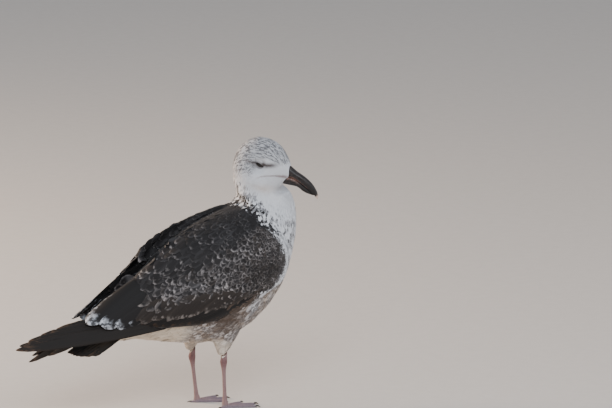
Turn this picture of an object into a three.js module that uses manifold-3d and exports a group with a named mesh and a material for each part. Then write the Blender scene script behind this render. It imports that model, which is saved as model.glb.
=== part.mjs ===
// A standing immature lesser black-backed gull, life size, head turned to its right.
// Millimetres. The bird faces +X, its left side is +Y and up is +Z.
// While it is shaped, the origin is on the floor midway between the two feet.

import * as THREE from "three";
import { mergeVertices } from "three/addons/utils/BufferGeometryUtils.js";
import Module from "manifold-3d";

const wasm = await Module();
wasm.setup();

// ---------------------------------------------------------------- driving dimensions

const GAP = 0.3; // clearance between pieces that touch
const FAR = 900; // edge of the blocks that part the body

// Head pose: the centre lies between the eyes.
const HEAD_CENTRE = [75.8, -4, 316];
const HEAD_TURN = -39.8; // degrees of yaw, towards the bird's right
const HEAD_NOD = 20.3; // degrees the bill axis drops
const HEAD_TILT = 5.4; // degrees the crown leans to the right

const EYE_RADIUS = 6.6;
const EYE_OUT = 12.7; // eye centre from the head's middle plane
const ORBIT_RADIUS = 12; // shallow hollow around each eye
const ORBIT_OUT = 28.9;
const ORBIT_HEIGHT = 0.5;

const STANCE_HALF = 25; // feet from the middle plane
const LEFT_FOOT_X = -6.5;
const RIGHT_FOOT_X = 9;
const HEEL_HEIGHT = 61;
const LEG_TOP = 84;

const TOE_HEIGHT = 5.2;
const WEB_THICKNESS = 1.6;
const PAD_DEPTH = 0.6; // toes are cut off flat this far up, so that they rest on flats
const ANKLE_HEIGHT = 9;

const PRIMARY_THICKNESS = 1.3;
const TAIL_THICKNESS = 2.4;
const BLADE_TAPER = 0.4; // share of its thickness that a primary loses towards its tip

// How finely each kind of loft is divided: sides round it and steps along it.
const BODY_MESH = { around: 22, along: 34 };
const BILL_MESH = { around: 10, along: 9 };
const FEATHER_MESH = { around: 12, along: 11 };
const TAIL_MESH = { around: 14, along: 9 };
const BLADE_MESH = { around: 6, along: 6 };
const THIGH_MESH = { around: 12, along: 5 };
const SHANK_MESH = { around: 8, along: 12 };
const ANKLE_MESH = { around: 8, along: 2 };
const TOE_MESH = { around: 6, along: 3 };
const BALL_SIDES = 12;
const ORBIT_SIDES = 14;

// ---------------------------------------------------------------- colours

function finish(colour, roughness) {
  return () => new THREE.MeshStandardMaterial({ color: colour, roughness, metalness: 0 });
}

const whitePlumage = finish(0xdcdbd8, 0.9);
const mottledPlumage = finish(0x8f867d, 0.9);
const mantlePlumage = finish(0x4b4743, 0.9);
const covertPlumage = finish(0x6b625a, 0.9);
const blackQuill = finish(0x231f1c, 0.7);
const horn = finish(0x2a2422, 0.4);
const eyeBrown = finish(0x1d130d, 0.1);
const legPink = finish(0xb98c86, 0.55);
const clawBlack = finish(0x2b2624, 0.4);

// ---------------------------------------------------------------- solids from geometry

function merged(geometry) {
  geometry.deleteAttribute("normal");
  geometry.deleteAttribute("uv");
  return mergeVertices(geometry, 1e-4);
}

function toSolid(geometry) {
  return new wasm.Manifold(
    new wasm.Mesh({
      numProp: 3,
      vertProperties: new Float32Array(geometry.attributes.position.array),
      triVerts: new Uint32Array(geometry.index.array),
    }),
  );
}

function toGeometry(solid) {
  const { vertProperties, triVerts } = solid.getMesh();
  const geometry = new THREE.BufferGeometry();
  geometry.setAttribute("position", new THREE.Float32BufferAttribute(vertProperties, 3));
  geometry.setIndex([...triVerts]);
  return geometry;
}

// The largest connected body of a solid, without slivers left by a cut.
function mainBody(solid) {
  const bodies = solid.decompose();
  return bodies.reduce((a, b) => (a.volume() > b.volume() ? a : b));
}

function union(solids) {
  return solids.reduce((a, b) => a.add(b));
}

function without(solid, ...cutters) {
  return mainBody(cutters.reduce((a, b) => a.subtract(b), solid));
}

// A closed geometry with its left and right exchanged and its faces still pointing out.
function mirrored(geometry) {
  const copy = geometry.clone();
  const place = copy.attributes.position;
  for (let i = 0; i < place.count; i += 1) {
    place.setY(i, -place.getY(i));
  }
  const index = copy.index.array;
  for (let i = 0; i < index.length; i += 3) {
    [index[i], index[i + 1]] = [index[i + 1], index[i]];
  }
  return copy;
}

// ---------------------------------------------------------------- lofts through stations

const point = (p) => new THREE.Vector3(...p);

// A station is a cross-section: its top and bottom points, its half width to either side,
// and how far its middle bows outward. Stations are joined by smooth curves.
function station(top, bottom, side, bow = 0) {
  return { top: point(top), bottom: point(bottom), side, bow };
}

// A closed body through the stations, as a cylinder whose rings are moved onto them.
// roundTop and roundBottom below 1 square off that half of each section. lateral is the
// direction of each section's width, and grow makes the whole body larger all round.
function loft(stations, options = {}) {
  const { around = 16, along = 12, roundTop = 1, roundBottom = 1, grow = 0 } = options;
  const lateral = options.lateral ?? (() => new THREE.Vector3(0, -1, 0));
  const tops = new THREE.CatmullRomCurve3(stations.map((s) => s.top));
  const bottoms = new THREE.CatmullRomCurve3(stations.map((s) => s.bottom));
  const sizes = new THREE.CatmullRomCurve3(
    stations.map((s) => new THREE.Vector3(s.side, s.bow, 0)),
  );
  const geometry = merged(new THREE.CylinderGeometry(1, 1, 1, around, along));
  const place = geometry.attributes.position;
  const round = (value, power) => Math.sign(value) * Math.abs(value) ** power;
  for (let i = 0; i < place.count; i += 1) {
    const t = Math.min(Math.max(place.getY(i) + 0.5, 0), 1);
    const top = tops.getPoint(t);
    const bottom = bottoms.getPoint(t);
    const size = sizes.getPoint(t);
    const middle = top.clone().add(bottom).multiplyScalar(0.5);
    const half = top.clone().sub(bottom).multiplyScalar(0.5);
    half.setLength(half.length() + grow);
    const power = place.getZ(i) > 0 ? roundTop : roundBottom;
    const across = round(place.getX(i), power);
    const up = round(place.getZ(i), power);
    const offset = (size.x + grow) * across + size.y * (1 - up * up);
    const ends = t === 0 ? -1 : t === 1 ? 1 : 0;
    const forward = tops.getTangent(t).add(bottoms.getTangent(t)).setLength(ends * grow);
    middle.addScaledVector(half, up).addScaledVector(lateral(t), offset).add(forward);
    place.setXYZ(i, middle.x, middle.y, middle.z);
  }
  return geometry;
}

// ---------------------------------------------------------------- head frame

// Head coordinates: forward along the head, up through the crown, and to the right.
const headPose = new THREE.Matrix4();
{
  const degrees = THREE.MathUtils.degToRad;
  const turn = new THREE.Matrix4().makeRotationZ(degrees(HEAD_TURN));
  const nod = new THREE.Matrix4().makeRotationY(degrees(HEAD_NOD));
  const tilt = new THREE.Matrix4().makeRotationX(degrees(HEAD_TILT));
  headPose.makeTranslation(...HEAD_CENTRE).multiply(turn).multiply(nod).multiply(tilt);
}

function inHead(forward, up, right = 0) {
  return new THREE.Vector3(forward, -right, up).applyMatrix4(headPose).toArray();
}

const headRight = new THREE.Vector3(0, -1, 0).transformDirection(headPose);
const bodyRight = new THREE.Vector3(0, -1, 0);

// ---------------------------------------------------------------- trunk, neck and head

// From the undertail to the breast, up the neck and over the head to the bill.
const TRUNK_STATIONS = [
  station([-160, 0, 110], [-158, 0, 101], 8),
  station([-140, 0, 132], [-138, 0, 98], 24),
  station([-112, 0, 168], [-112, 0, 98], 39),
  station([-78, 0, 202], [-78, 0, 92], 50),
  station([-44, 0, 229], [-46, 0, 86.5], 58),
  station([-8, 0, 247], [-4, 0, 84.5], 62),
  station([20, 0, 257], [38, 0, 97], 62),
  station([33, 0, 262], [71, 0, 120.5], 60),
  station([41, 2, 266], [98, 0, 154], 57),
  station([45, 6, 270], [113, -2, 188], 53.5),
];
const NECK_STATIONS = [
  station([46, 12, 274], [122.5, -6, 222], 48.5),
  station([47, 17, 279], [122.5, -9, 246], 42.5),
  station(inHead(-26, -43), [117.5, -11.5, 263], 37),
];
const HEAD_STATIONS = [
  station(inHead(-33, -27), [107, -15, 275], 32),
  station(inHead(-37.5, -9), inHead(32, -29), 29),
  station(inHead(-34, 12), inHead(34, -23.5), 26),
  station(inHead(-20, 27.5), inHead(35, -20.5), 23.5),
  station(inHead(-2, 32.2), inHead(35.5, -18.8), 20.5),
  station(inHead(14, 29.5), inHead(36.2, -17.4), 17.5),
  station(inHead(25, 22), inHead(37, -15.6), 14),
  station(inHead(33, 14), inHead(38, -12.6), 10.8),
  station(inHead(38.4, 7.4), inHead(40, -9.4), 7.6),
  station(inHead(41.6, 3), inHead(42.4, -4.4), 3.2),
];
const BODY_STATIONS = [...TRUNK_STATIONS, ...NECK_STATIONS, ...HEAD_STATIONS];

// The sections turn from the body's heading to the head's between these stations.
const TURN_START = (TRUNK_STATIONS.length - 3) / (BODY_STATIONS.length - 1);
const TURN_END = (TRUNK_STATIONS.length + NECK_STATIONS.length + 1) / (BODY_STATIONS.length - 1);

function bodyLateral(t) {
  const share = THREE.MathUtils.smoothstep(t, TURN_START, TURN_END);
  return bodyRight.clone().lerp(headRight, share).normalize();
}

function bodySolid(grow) {
  const shape = { ...BODY_MESH, roundTop: 0.95, roundBottom: 0.95, grow };
  return toSolid(loft(BODY_STATIONS, { ...shape, lateral: bodyLateral }));
}

const body = bodySolid(0);
const bodyClearance = bodySolid(GAP);

// A block whose lower face passes through the middle of two points, facing along the body.
function blockBeyond(back, front) {
  const along = point(front).sub(point(back)).normalize();
  const normal = bodyRight.clone().cross(along).normalize();
  const middle = point(back).add(point(front)).multiplyScalar(0.5);
  const box = merged(new THREE.BoxGeometry(FAR, FAR, FAR));
  const across = normal.clone().cross(along);
  const place = new THREE.Matrix4().makeBasis(along, across, normal);
  place.setPosition(middle.addScaledVector(normal, FAR / 2));
  box.applyMatrix4(place);
  return { solid: toSolid(box), normal };
}

const HEAD_CUT = { back: inHead(-34, -31), front: inHead(33, -30) };
const NECK_CUT = { back: [30, 0, 258], front: [124, 0, 208] };

function shifted(cut, normal, distance) {
  const move = (p) => point(p).addScaledVector(normal, distance).toArray();
  return blockBeyond(move(cut.back), move(cut.front)).solid;
}

const headBlock = blockBeyond(HEAD_CUT.back, HEAD_CUT.front);
const neckBlock = blockBeyond(NECK_CUT.back, NECK_CUT.front);
const wholeHead = mainBody(body.intersect(headBlock.solid));
const belowHead = body.subtract(shifted(HEAD_CUT, headBlock.normal, -GAP));
const neckSolid = mainBody(belowHead.intersect(neckBlock.solid));
const wholeTrunk = mainBody(belowHead.subtract(shifted(NECK_CUT, neckBlock.normal, -GAP)));

// ---------------------------------------------------------------- bill and eyes

// Each mandible runs from its feathered base to its tip, between two edges.
const UPPER_MANDIBLE = [
  station(inHead(34, 8.6), inHead(33, -7.2), 5.4),
  station(inHead(39.5, 7.3), inHead(39.5, -5.4), 5.9),
  station(inHead(46, 4.8), inHead(46, -5.2), 5.5),
  station(inHead(54, 2.9), inHead(54, -6.6), 5),
  station(inHead(62.5, 0.4), inHead(61.5, -9.4), 4.5),
  station(inHead(70.5, -2.9), inHead(68.5, -12), 3.9),
  station(inHead(77.4, -7.8), inHead(75, -14.4), 3),
  station(inHead(82.2, -12.8), inHead(79.8, -17), 2),
  station(inHead(84.6, -17.4), inHead(82.6, -19.8), 0.9),
];
const LOWER_MANDIBLE = [
  station(inHead(31, -8.2), inHead(33.5, -17), 6),
  station(inHead(39.5, -6), inHead(40.3, -16.4), 5.8),
  station(inHead(46, -5.8), inHead(47, -15.2), 5.2),
  station(inHead(53.5, -7.1), inHead(54, -14.2), 4.4),
  station(inHead(60.5, -9.8), inHead(61, -16.4), 3.7),
  station(inHead(66.8, -12.2), inHead(67.5, -17.4), 3),
  station(inHead(72.6, -14.3), inHead(72.8, -17.2), 2),
  station(inHead(77.2, -16.2), inHead(77.4, -17.3), 0.8),
];
const towardsRight = () => headRight;

function mandible(stations, roundTop, roundBottom, grow = 0) {
  const shape = { ...BILL_MESH, roundTop, roundBottom, grow };
  return toSolid(loft(stations, { ...shape, lateral: towardsRight }));
}

const upperMandible = (grow) => mandible(UPPER_MANDIBLE, 0.9, 0.5, grow);
const lowerMandible = (grow) => mandible(LOWER_MANDIBLE, 0.45, 0.9, grow);

function ball(radius, centre, around = BALL_SIDES) {
  const geometry = merged(new THREE.SphereGeometry(radius, around, around / 2));
  geometry.rotateX(Math.PI / 2);
  return toSolid(geometry.translate(...centre));
}

const eyeCentre = (side) => inHead(0, 0, side * EYE_OUT);
const socket = (side) => ball(EYE_RADIUS + GAP, eyeCentre(side));
const orbit = (side) => ball(ORBIT_RADIUS, inHead(1, ORBIT_HEIGHT, side * ORBIT_OUT), ORBIT_SIDES);

const headSolid = without(
  wholeHead,
  orbit(1),
  orbit(-1),
  socket(1),
  socket(-1),
  upperMandible(GAP),
  lowerMandible(GAP),
);

// ---------------------------------------------------------------- tail

// The folded tail slopes down under the wing tips and ends in a shallow curve.
const TAIL_STATIONS = [
  station([-84, 0, 147], [-84, 0, 147 - TAIL_THICKNESS * 2], 15, 0),
  station([-112, 0, 132], [-112, 0, 132 - TAIL_THICKNESS * 1.6], 22, 0),
  station([-145, 0, 116], [-145, 0, 116 - TAIL_THICKNESS * 1.3], 29, 0),
  station([-170, 0, 103], [-170, 0, 103 - TAIL_THICKNESS], 34, 0),
  station([-186, 0, 95], [-186, 0, 95 - TAIL_THICKNESS], 34, 0),
  station([-196, 0, 90.3], [-196, 0, 90.3 - TAIL_THICKNESS * 0.7], 28, 0),
  station([-201, 0, 88], [-201, 0, 88 - TAIL_THICKNESS * 0.5], 16, 0),
];
const TAIL_ARCH = 0.0085; // drop of the tail's edges for each square millimetre of half width

function tailSolid(grow) {
  const geometry = loft([...TAIL_STATIONS].reverse(), { ...TAIL_MESH, grow });
  const place = geometry.attributes.position;
  for (let i = 0; i < place.count; i += 1) {
    place.setZ(i, place.getZ(i) - TAIL_ARCH * place.getY(i) ** 2);
  }
  return toSolid(geometry);
}

const tail = without(tailSolid(0), bodyClearance);
const tailClearance = tailSolid(GAP);

// ---------------------------------------------------------------- wings

// Stations of the right wing, front to back: points are forward, outward and up.
const out = (x, outward, z) => [x, -outward, z];

function wingStation(top, bottom, thickness, bow) {
  return station(out(...top), out(...bottom), thickness / 2, bow);
}

const SCAPULAR_STATIONS = [
  wingStation([52, 24, 260], [58, 36, 250], 3, 1),
  wingStation([26, 15, 262], [40, 50, 236], 13, 4),
  wingStation([-14, 16, 251], [2, 57, 216], 15, 6),
  wingStation([-54, 18, 236], [-36, 54, 198], 15, 7),
  wingStation([-86, 18, 213], [-70, 46, 184], 13, 6),
  wingStation([-110, 18, 192], [-98, 38, 169], 9, 4),
  wingStation([-126, 20, 178], [-119, 31, 166], 3, 1),
];
const COVERT_STATIONS = [
  wingStation([91, 45, 206], [89, 47, 186], 4, 1),
  wingStation([83, 49, 226], [84, 53, 168], 12, 4),
  wingStation([56, 50, 242], [62, 58, 154], 16, 10),
  wingStation([10, 48, 236], [18, 58, 134], 17, 14),
  wingStation([-36, 45, 214], [-26, 56, 117], 16, 14),
  wingStation([-78, 38, 188], [-70, 50, 114], 13, 12),
  wingStation([-108, 33, 167], [-103, 44, 114], 10, 8),
  wingStation([-131, 33, 148], [-128, 40, 119], 3, 3),
];
const TERTIAL_STATIONS = [
  wingStation([-84, 16, 206], [-76, 36, 134], 7, 5),
  wingStation([-120, 12, 185], [-112, 36, 124], 7, 6),
  wingStation([-148, 10, 164], [-140, 34, 119], 6, 6),
  wingStation([-173, 8, 144], [-166, 31, 119], 4.5, 5),
  wingStation([-188, 10, 134], [-183, 27, 121], 3, 3),
  wingStation([-194, 16, 129], [-191, 24, 123], 1.2, 0.5),
];

// Where each wing's five longest primaries end, from the lowest up, and their widths.
const PRIMARY_TIPS = {
  right: [
    [-281, 5, 99.5],
    [-275, 3.4, 104],
    [-262, 1.6, 109],
    [-243, 0, 114.5],
    [-221, -1.6, 119.5],
  ],
  left: [
    [-225, 15, 84],
    [-254, 13, 78.5],
    [-250, 11.4, 87],
    [-238, 10, 94.5],
    [-220, 9, 102],
  ],
};
const PRIMARY_ROOT = [-80, 44, 121];
const PRIMARY_RISE = 5; // each inner primary starts higher
const PRIMARY_INSET = 1.9; // and further in
const PRIMARY_WIDTH = 15;
const PRIMARY_LEAN = -0.5; // a blade's top edge leans in, against its width
const PRIMARY_BOW = 5;
const BLADE_SHARES = [1, 0.94, 0.82, 0.6, 0.3, 0]; // stations from the tip to the root
const BLADE_WIDTHS = [0.14, 0.5, 0.8, 1, 1, 1]; // shares of the full width at each of them

function primaryBlade(tip, order) {
  const root = point(PRIMARY_ROOT);
  root.y -= PRIMARY_INSET * order;
  root.z += PRIMARY_RISE * order;
  const end = point(tip);
  const widthWay = new THREE.Vector3(0, PRIMARY_LEAN, 1).normalize();
  const stations = BLADE_SHARES.map((share, i) => {
    const middle = root.clone().lerp(end, share);
    middle.y += Math.sin(Math.PI * share) * PRIMARY_BOW;
    const half = widthWay.clone().multiplyScalar((PRIMARY_WIDTH * BLADE_WIDTHS[i]) / 2);
    const top = middle.clone().add(half).toArray();
    const bottom = middle.clone().sub(half).toArray();
    return wingStation(top, bottom, PRIMARY_THICKNESS * (1 - BLADE_TAPER * share), 0);
  });
  return loft(stations, BLADE_MESH);
}

function primaries(side) {
  const blades = PRIMARY_TIPS[side].map((tip, order) => primaryBlade(tip, order));
  return union(blades.map((blade) => toSolid(side === "left" ? mirrored(blade) : blade)));
}

function featherGroup(stations, side, grow = 0) {
  const geometry = loft([...stations].reverse(), { ...FEATHER_MESH, grow });
  return toSolid(side === "left" ? mirrored(geometry) : geometry);
}

function wing(side) {
  const scapulars = without(featherGroup(SCAPULAR_STATIONS, side), bodyClearance);
  const scapularRoom = featherGroup(SCAPULAR_STATIONS, side, GAP);
  const covertRoom = featherGroup(COVERT_STATIONS, side, GAP);
  const tertialRoom = featherGroup(TERTIAL_STATIONS, side, GAP);
  const rooms = [bodyClearance, scapularRoom];
  const coverts = without(featherGroup(COVERT_STATIONS, side), ...rooms);
  const tertials = without(featherGroup(TERTIAL_STATIONS, side), ...rooms, covertRoom);
  const quills = without(primaries(side), ...rooms, covertRoom, tertialRoom, tailClearance);
  return { scapulars, coverts, tertials, primaries: quills };
}

// ---------------------------------------------------------------- legs and feet

const FEET = {
  left: { x: LEFT_FOOT_X, y: STANCE_HALF, heelX: -13.5 },
  right: { x: RIGHT_FOOT_X, y: -STANCE_HALF, heelX: 7 },
};

const legLateral = () => bodyRight;

const SHIN_LEAN = 3; // how far forward of the heel the leg meets the thigh
const SHANK_FOOT = 4.5; // height of the leg's lowest section

// The bare leg's outline: height, half depth and half width.
const SHANK_OUTLINE = [
  [SHANK_FOOT, 3.4, 3.6],
  [9, 3.6, 3.4],
  [16, 2.9, 2.6],
  [34, 2.7, 2.4],
  [50, 3, 2.7],
  [57, 4.4, 4],
  [61.5, 5.2, 4.6],
  [66, 4.4, 3.9],
  [72, 3.7, 3.4],
  [LEG_TOP, 4.2, 3.8],
];

// The feathered thigh's outline: height, half depth, half width and shift from the heel.
const THIGH_OUTLINE = [
  [70, 5, 5, -3],
  [76, 8, 7.5, -2],
  [86, 14, 11, 0],
  [98, 20, 15, 2],
  [112, 24, 18, 4],
];

function legStations({ x, y, heelX }) {
  const topX = heelX + SHIN_LEAN;
  return SHANK_OUTLINE.map(([height, halfDepth, halfWidth]) => {
    const below = THREE.MathUtils.mapLinear(height, SHANK_FOOT, HEEL_HEIGHT, x, heelX);
    const above = THREE.MathUtils.mapLinear(height, HEEL_HEIGHT, LEG_TOP, heelX, topX);
    const centre = height < HEEL_HEIGHT ? below : above;
    return station([centre - halfDepth, y, height], [centre + halfDepth, y, height], halfWidth);
  });
}

function thighStations({ y, heelX }) {
  return THIGH_OUTLINE.map(([height, halfDepth, halfWidth, shift]) => {
    const centre = heelX + shift;
    return station([centre - halfDepth, y, height], [centre + halfDepth, y, height], halfWidth);
  });
}

// Toe directions from straight ahead, in degrees outward, with length and half width.
const TOES = [
  { turn: -27, length: 37, half: 2.3 },
  { turn: 0, length: 45, half: 2.5 },
  { turn: 24, length: 42, half: 2.3 },
];
const CLAW_LENGTH = 6;
const CLAW_SET = 1.6; // how deep a claw sits in its toe
const WEB_REACH = 0.93; // share of a toe's length that the web is joined to
const HIND_TOE = { turn: 165, length: 9, half: 1.6, height: 3.4 };
const WEB_SAG = 0.9; // where the web's edge falls between two toes, as a share of their length

function footFrame({ x, y }, turn) {
  const outward = Math.sign(y);
  const angle = THREE.MathUtils.degToRad(turn) * outward;
  const turned = new THREE.Matrix4().makeRotationZ(angle);
  return new THREE.Matrix4().makeTranslation(x, y, 0).multiply(turned);
}

// A toe lies on the floor, thick at the ankle and low at the claw.
function toeSolid(foot, { turn, length, half, height = TOE_HEIGHT }) {
  const stations = [
    station([-3, 0, height], [-3, 0, -PAD_DEPTH], half),
    station([length * 0.3, 0, height * 0.92], [length * 0.3, 0, -PAD_DEPTH], half),
    station([length * 0.62, 0, height * 0.8], [length * 0.62, 0, -PAD_DEPTH], half * 0.88),
    station([length * 0.9, 0, height * 0.66], [length * 0.9, 0, -PAD_DEPTH], half * 0.78),
    station([length, 0, height * 0.52], [length, 0, 0], half * 0.5),
  ];
  const geometry = loft(stations, { ...TOE_MESH, roundBottom: 0.5 });
  return toSolid(geometry.applyMatrix4(footFrame(foot, turn)));
}

// Claws curve down from the toe's end to the floor.
function clawSolid(foot, { turn, length, half, height = TOE_HEIGHT }, grow = 0) {
  const start = length - CLAW_SET;
  const middle = start + CLAW_LENGTH * 0.5;
  const end = start + CLAW_LENGTH;
  const stations = [
    station([start, 0, height * 0.6], [start, 0, height * 0.14], half * 0.45),
    station([middle, 0, height * 0.55], [middle - 0.3, 0, 0.3], half * 0.4),
    station([end, 0, 0.8], [end - 0.6, 0, 0.1], half * 0.16),
  ];
  const geometry = loft(stations, { ...TOE_MESH, grow });
  return toSolid(geometry.applyMatrix4(footFrame(foot, turn)));
}

function webSolid(foot) {
  const outline = new THREE.Shape();
  const outward = Math.sign(foot.y);
  const tips = TOES.map(({ turn, length }) => {
    const angle = THREE.MathUtils.degToRad(turn) * outward;
    const reach = length * WEB_REACH;
    return new THREE.Vector2(Math.cos(angle) * reach, Math.sin(angle) * reach);
  });
  outline.moveTo(0, 0);
  outline.lineTo(tips[0].x, tips[0].y);
  for (let i = 1; i < tips.length; i += 1) {
    const middle = tips[i - 1].clone().add(tips[i]).multiplyScalar(0.5 * WEB_SAG);
    outline.quadraticCurveTo(middle.x, middle.y, tips[i].x, tips[i].y);
  }
  outline.closePath();
  const settings = { depth: WEB_THICKNESS, bevelEnabled: false, curveSegments: 3 };
  const geometry = merged(new THREE.ExtrudeGeometry(outline, settings));
  return toSolid(geometry.translate(foot.x, foot.y, 0));
}

function ankleSolid(foot) {
  const stations = [
    station([foot.x - 4.4, foot.y, -PAD_DEPTH], [foot.x + 5, foot.y, -PAD_DEPTH], 4.2),
    station([foot.x - 4.6, foot.y, 3], [foot.x + 5, foot.y, 3], 4.3),
    station([foot.x - 4, foot.y, ANKLE_HEIGHT], [foot.x + 4, foot.y, ANKLE_HEIGHT], 3.8),
  ];
  return toSolid(loft(stations, { ...ANKLE_MESH, lateral: legLateral }));
}

const floorBlock = toSolid(
  merged(new THREE.BoxGeometry(FAR, FAR, FAR)).translate(0, 0, -FAR / 2),
);

function leg(side) {
  const foot = FEET[side];
  const upright = { lateral: legLateral };
  const thigh = (grow) => toSolid(loft(thighStations(foot), { ...THIGH_MESH, ...upright, grow }));
  const shank = toSolid(loft(legStations(foot), { ...SHANK_MESH, ...upright }));
  const toes = [...TOES, HIND_TOE];
  const sole = union([webSolid(foot), ankleSolid(foot), ...toes.map((toe) => toeSolid(foot, toe))]);
  const claws = toes.map((toe) => mainBody(clawSolid(foot, toe).subtract(floorBlock)));
  const clawRooms = toes.map((toe) => clawSolid(foot, toe, GAP));
  return {
    thigh: without(thigh(0), bodyClearance),
    tarsus: without(shank, bodyClearance, thigh(GAP), soleRoom()),
    foot: without(sole, floorBlock, ...clawRooms),
    claws,
  };
}

// Everything below the ankle belongs to the foot, and the gap above it is kept clear.
function soleRoom() {
  const geometry = merged(new THREE.BoxGeometry(FAR, FAR, FAR));
  return toSolid(geometry.translate(0, 0, ANKLE_HEIGHT + GAP - FAR / 2));
}

// ---------------------------------------------------------------- assembly

const bird = new THREE.Group();

function addPiece(name, solid, material) {
  const piece = new THREE.Mesh(toGeometry(solid), material());
  piece.name = name;
  bird.add(piece);
}

addPiece("head", headSolid, whitePlumage);
addPiece("neck", neckSolid, whitePlumage);
addPiece("trunk", wholeTrunk, mottledPlumage);
addPiece("bill_upper", upperMandible(0), horn);
addPiece("bill_lower", without(lowerMandible(0), upperMandible(GAP)), horn);
addPiece("eye_right", ball(EYE_RADIUS, eyeCentre(1)), eyeBrown);
addPiece("eye_left", ball(EYE_RADIUS, eyeCentre(-1)), eyeBrown);
addPiece("tail", tail, blackQuill);

const CLAW_NAMES = ["inner", "middle", "outer", "hind"];

for (const side of ["left", "right"]) {
  const { scapulars, coverts, tertials, primaries: quills } = wing(side);
  addPiece(`scapulars_${side}`, scapulars, mantlePlumage);
  addPiece(`wing_coverts_${side}`, coverts, covertPlumage);
  addPiece(`wing_tertials_${side}`, tertials, blackQuill);
  addPiece(`wing_primaries_${side}`, quills, blackQuill);

  const { thigh, tarsus, foot, claws } = leg(side);
  addPiece(`thigh_${side}`, thigh, whitePlumage);
  addPiece(`tarsus_${side}`, tarsus, legPink);
  addPiece(`foot_${side}`, foot, legPink);
  claws.forEach((claw, i) => addPiece(`claw_${side}_${CLAW_NAMES[i]}`, claw, clawBlack));
}

// The origin moves to the floor under the middle of the bird's box.
const box = new THREE.Box3().setFromObject(bird);
const middle = box.getCenter(new THREE.Vector3());
bird.position.set(-middle.x, -middle.y, -box.min.z);
bird.updateMatrixWorld(true);

export default bird;
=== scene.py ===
"""A standing immature lesser black-backed gull as a life-size museum model.

Everything is in metres with +Z up. The bird faces +X with its head turned to its right.
"""

from __future__ import annotations

import logging
import math
from dataclasses import dataclass, field
from enum import Enum, IntEnum
from typing import Callable, Iterable, Sequence

import bpy
import numpy as np
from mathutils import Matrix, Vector, noise
from mathutils.bvhtree import BVHTree


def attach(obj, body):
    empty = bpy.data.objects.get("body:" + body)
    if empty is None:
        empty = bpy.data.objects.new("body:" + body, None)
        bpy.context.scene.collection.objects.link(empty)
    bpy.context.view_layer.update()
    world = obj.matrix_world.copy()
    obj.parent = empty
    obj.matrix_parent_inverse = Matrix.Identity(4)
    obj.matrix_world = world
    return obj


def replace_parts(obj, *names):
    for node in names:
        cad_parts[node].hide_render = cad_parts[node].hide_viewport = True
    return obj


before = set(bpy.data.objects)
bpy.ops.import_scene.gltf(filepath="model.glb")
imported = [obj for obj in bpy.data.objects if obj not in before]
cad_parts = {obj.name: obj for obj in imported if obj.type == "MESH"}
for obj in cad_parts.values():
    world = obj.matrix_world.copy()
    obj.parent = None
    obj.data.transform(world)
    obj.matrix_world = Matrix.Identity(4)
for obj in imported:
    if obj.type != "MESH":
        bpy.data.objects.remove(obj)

LOG = logging.getLogger("gull")

Grid = np.ndarray
Triple = tuple[float, float, float]

MM = 0.001
STANCE = np.array([73.804, 0.0, 0.0])  # millimetres: the floor point between the feet
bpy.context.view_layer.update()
SIDES = {"right": -1.0, "left": 1.0}
EYE_OUT = 12.7  # millimetres from the head's middle to an eye's centre
EYE_RADIUS = 6.6
WING_COAT = 1.9  # how deep the wing's coat lies inside the swollen CAD surface


# ---------------- numbers and directions


def unit(vectors: Grid) -> Grid:
    """Vectors scaled to length one."""
    length = np.linalg.norm(vectors, axis=-1, keepdims=True)
    return vectors / np.maximum(length, 1e-12)


def smoothstep(low: float, high: float, value: Grid) -> Grid:
    """A smooth rise from 0 at low to 1 at high."""
    share = np.clip((value - low) / (high - low), 0.0, 1.0)
    return share * share * (3.0 - 2.0 * share)


def bell(value: Grid, width: float) -> Grid:
    """A soft peak, 1 where a value is 0, that falls away over a width."""
    return np.exp(-((value / width) ** 2))


def patch_at(a: Grid, b: Grid, centre: Sequence[float], spread: Sequence[float]) -> Grid:
    """A soft patch, 1 at a centre, with a squared width along each of two measures."""
    return np.exp(-((a - centre[0]) ** 2) / spread[0] - ((b - centre[1]) ** 2) / spread[1])


def rows_of(colour: Sequence[float], count: int) -> Grid:
    """One colour repeated on rows of its own."""
    return np.tile(np.array(colour), (count, 1))


def guide_weights(points: Grid, guides: Grid, softness: float) -> Grid:
    """How much each point takes from each guide, by their squared distance."""
    gap = ((points[:, None] - guides[None]) ** 2).sum(-1) + softness
    return gap**-2


def srgb(red: float, green: float, blue: float) -> Triple:
    """A screen colour, from 0 to 255 a channel, as linear light."""
    def linear(channel: float) -> float:
        share = channel / 255.0
        return share / 12.92 if share <= 0.04045 else ((share + 0.055) / 1.055) ** 2.4

    return linear(red), linear(green), linear(blue)


def curve_points(knots: Grid, count: int) -> Grid:
    """Points at even parameter steps on a smooth curve through knots.

    Args:
        knots: Rows of coordinates that the curve passes through.
        count: How many points to return.

    Returns:
        The points, one a row.
    """
    knots = np.asarray(knots, float)
    padded = np.vstack([2 * knots[0] - knots[1], knots, 2 * knots[-1] - knots[-2]])
    at = np.linspace(0, len(knots) - 1, count)
    index = np.minimum(at.astype(int), len(knots) - 2)
    t = (at - index)[:, None]
    a, b, c, d = (padded[index + k] for k in range(4))
    return 0.5 * (
        2 * b + (c - a) * t + (2 * a - 5 * b + 4 * c - d) * t**2 + (3 * b - a - 3 * c + d) * t**3
    )


def noise_at(points: Grid, scale: float, seed: float = 0.0) -> Grid:
    """Smooth noise from -1 to 1 at points given in millimetres, for a feature size."""
    shift = Vector((seed * 17.3, seed * 5.1, seed * 9.7))
    return np.array([noise.noise(Vector(p / scale) + shift) for p in points])


# ---------------- the head's own directions


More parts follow.
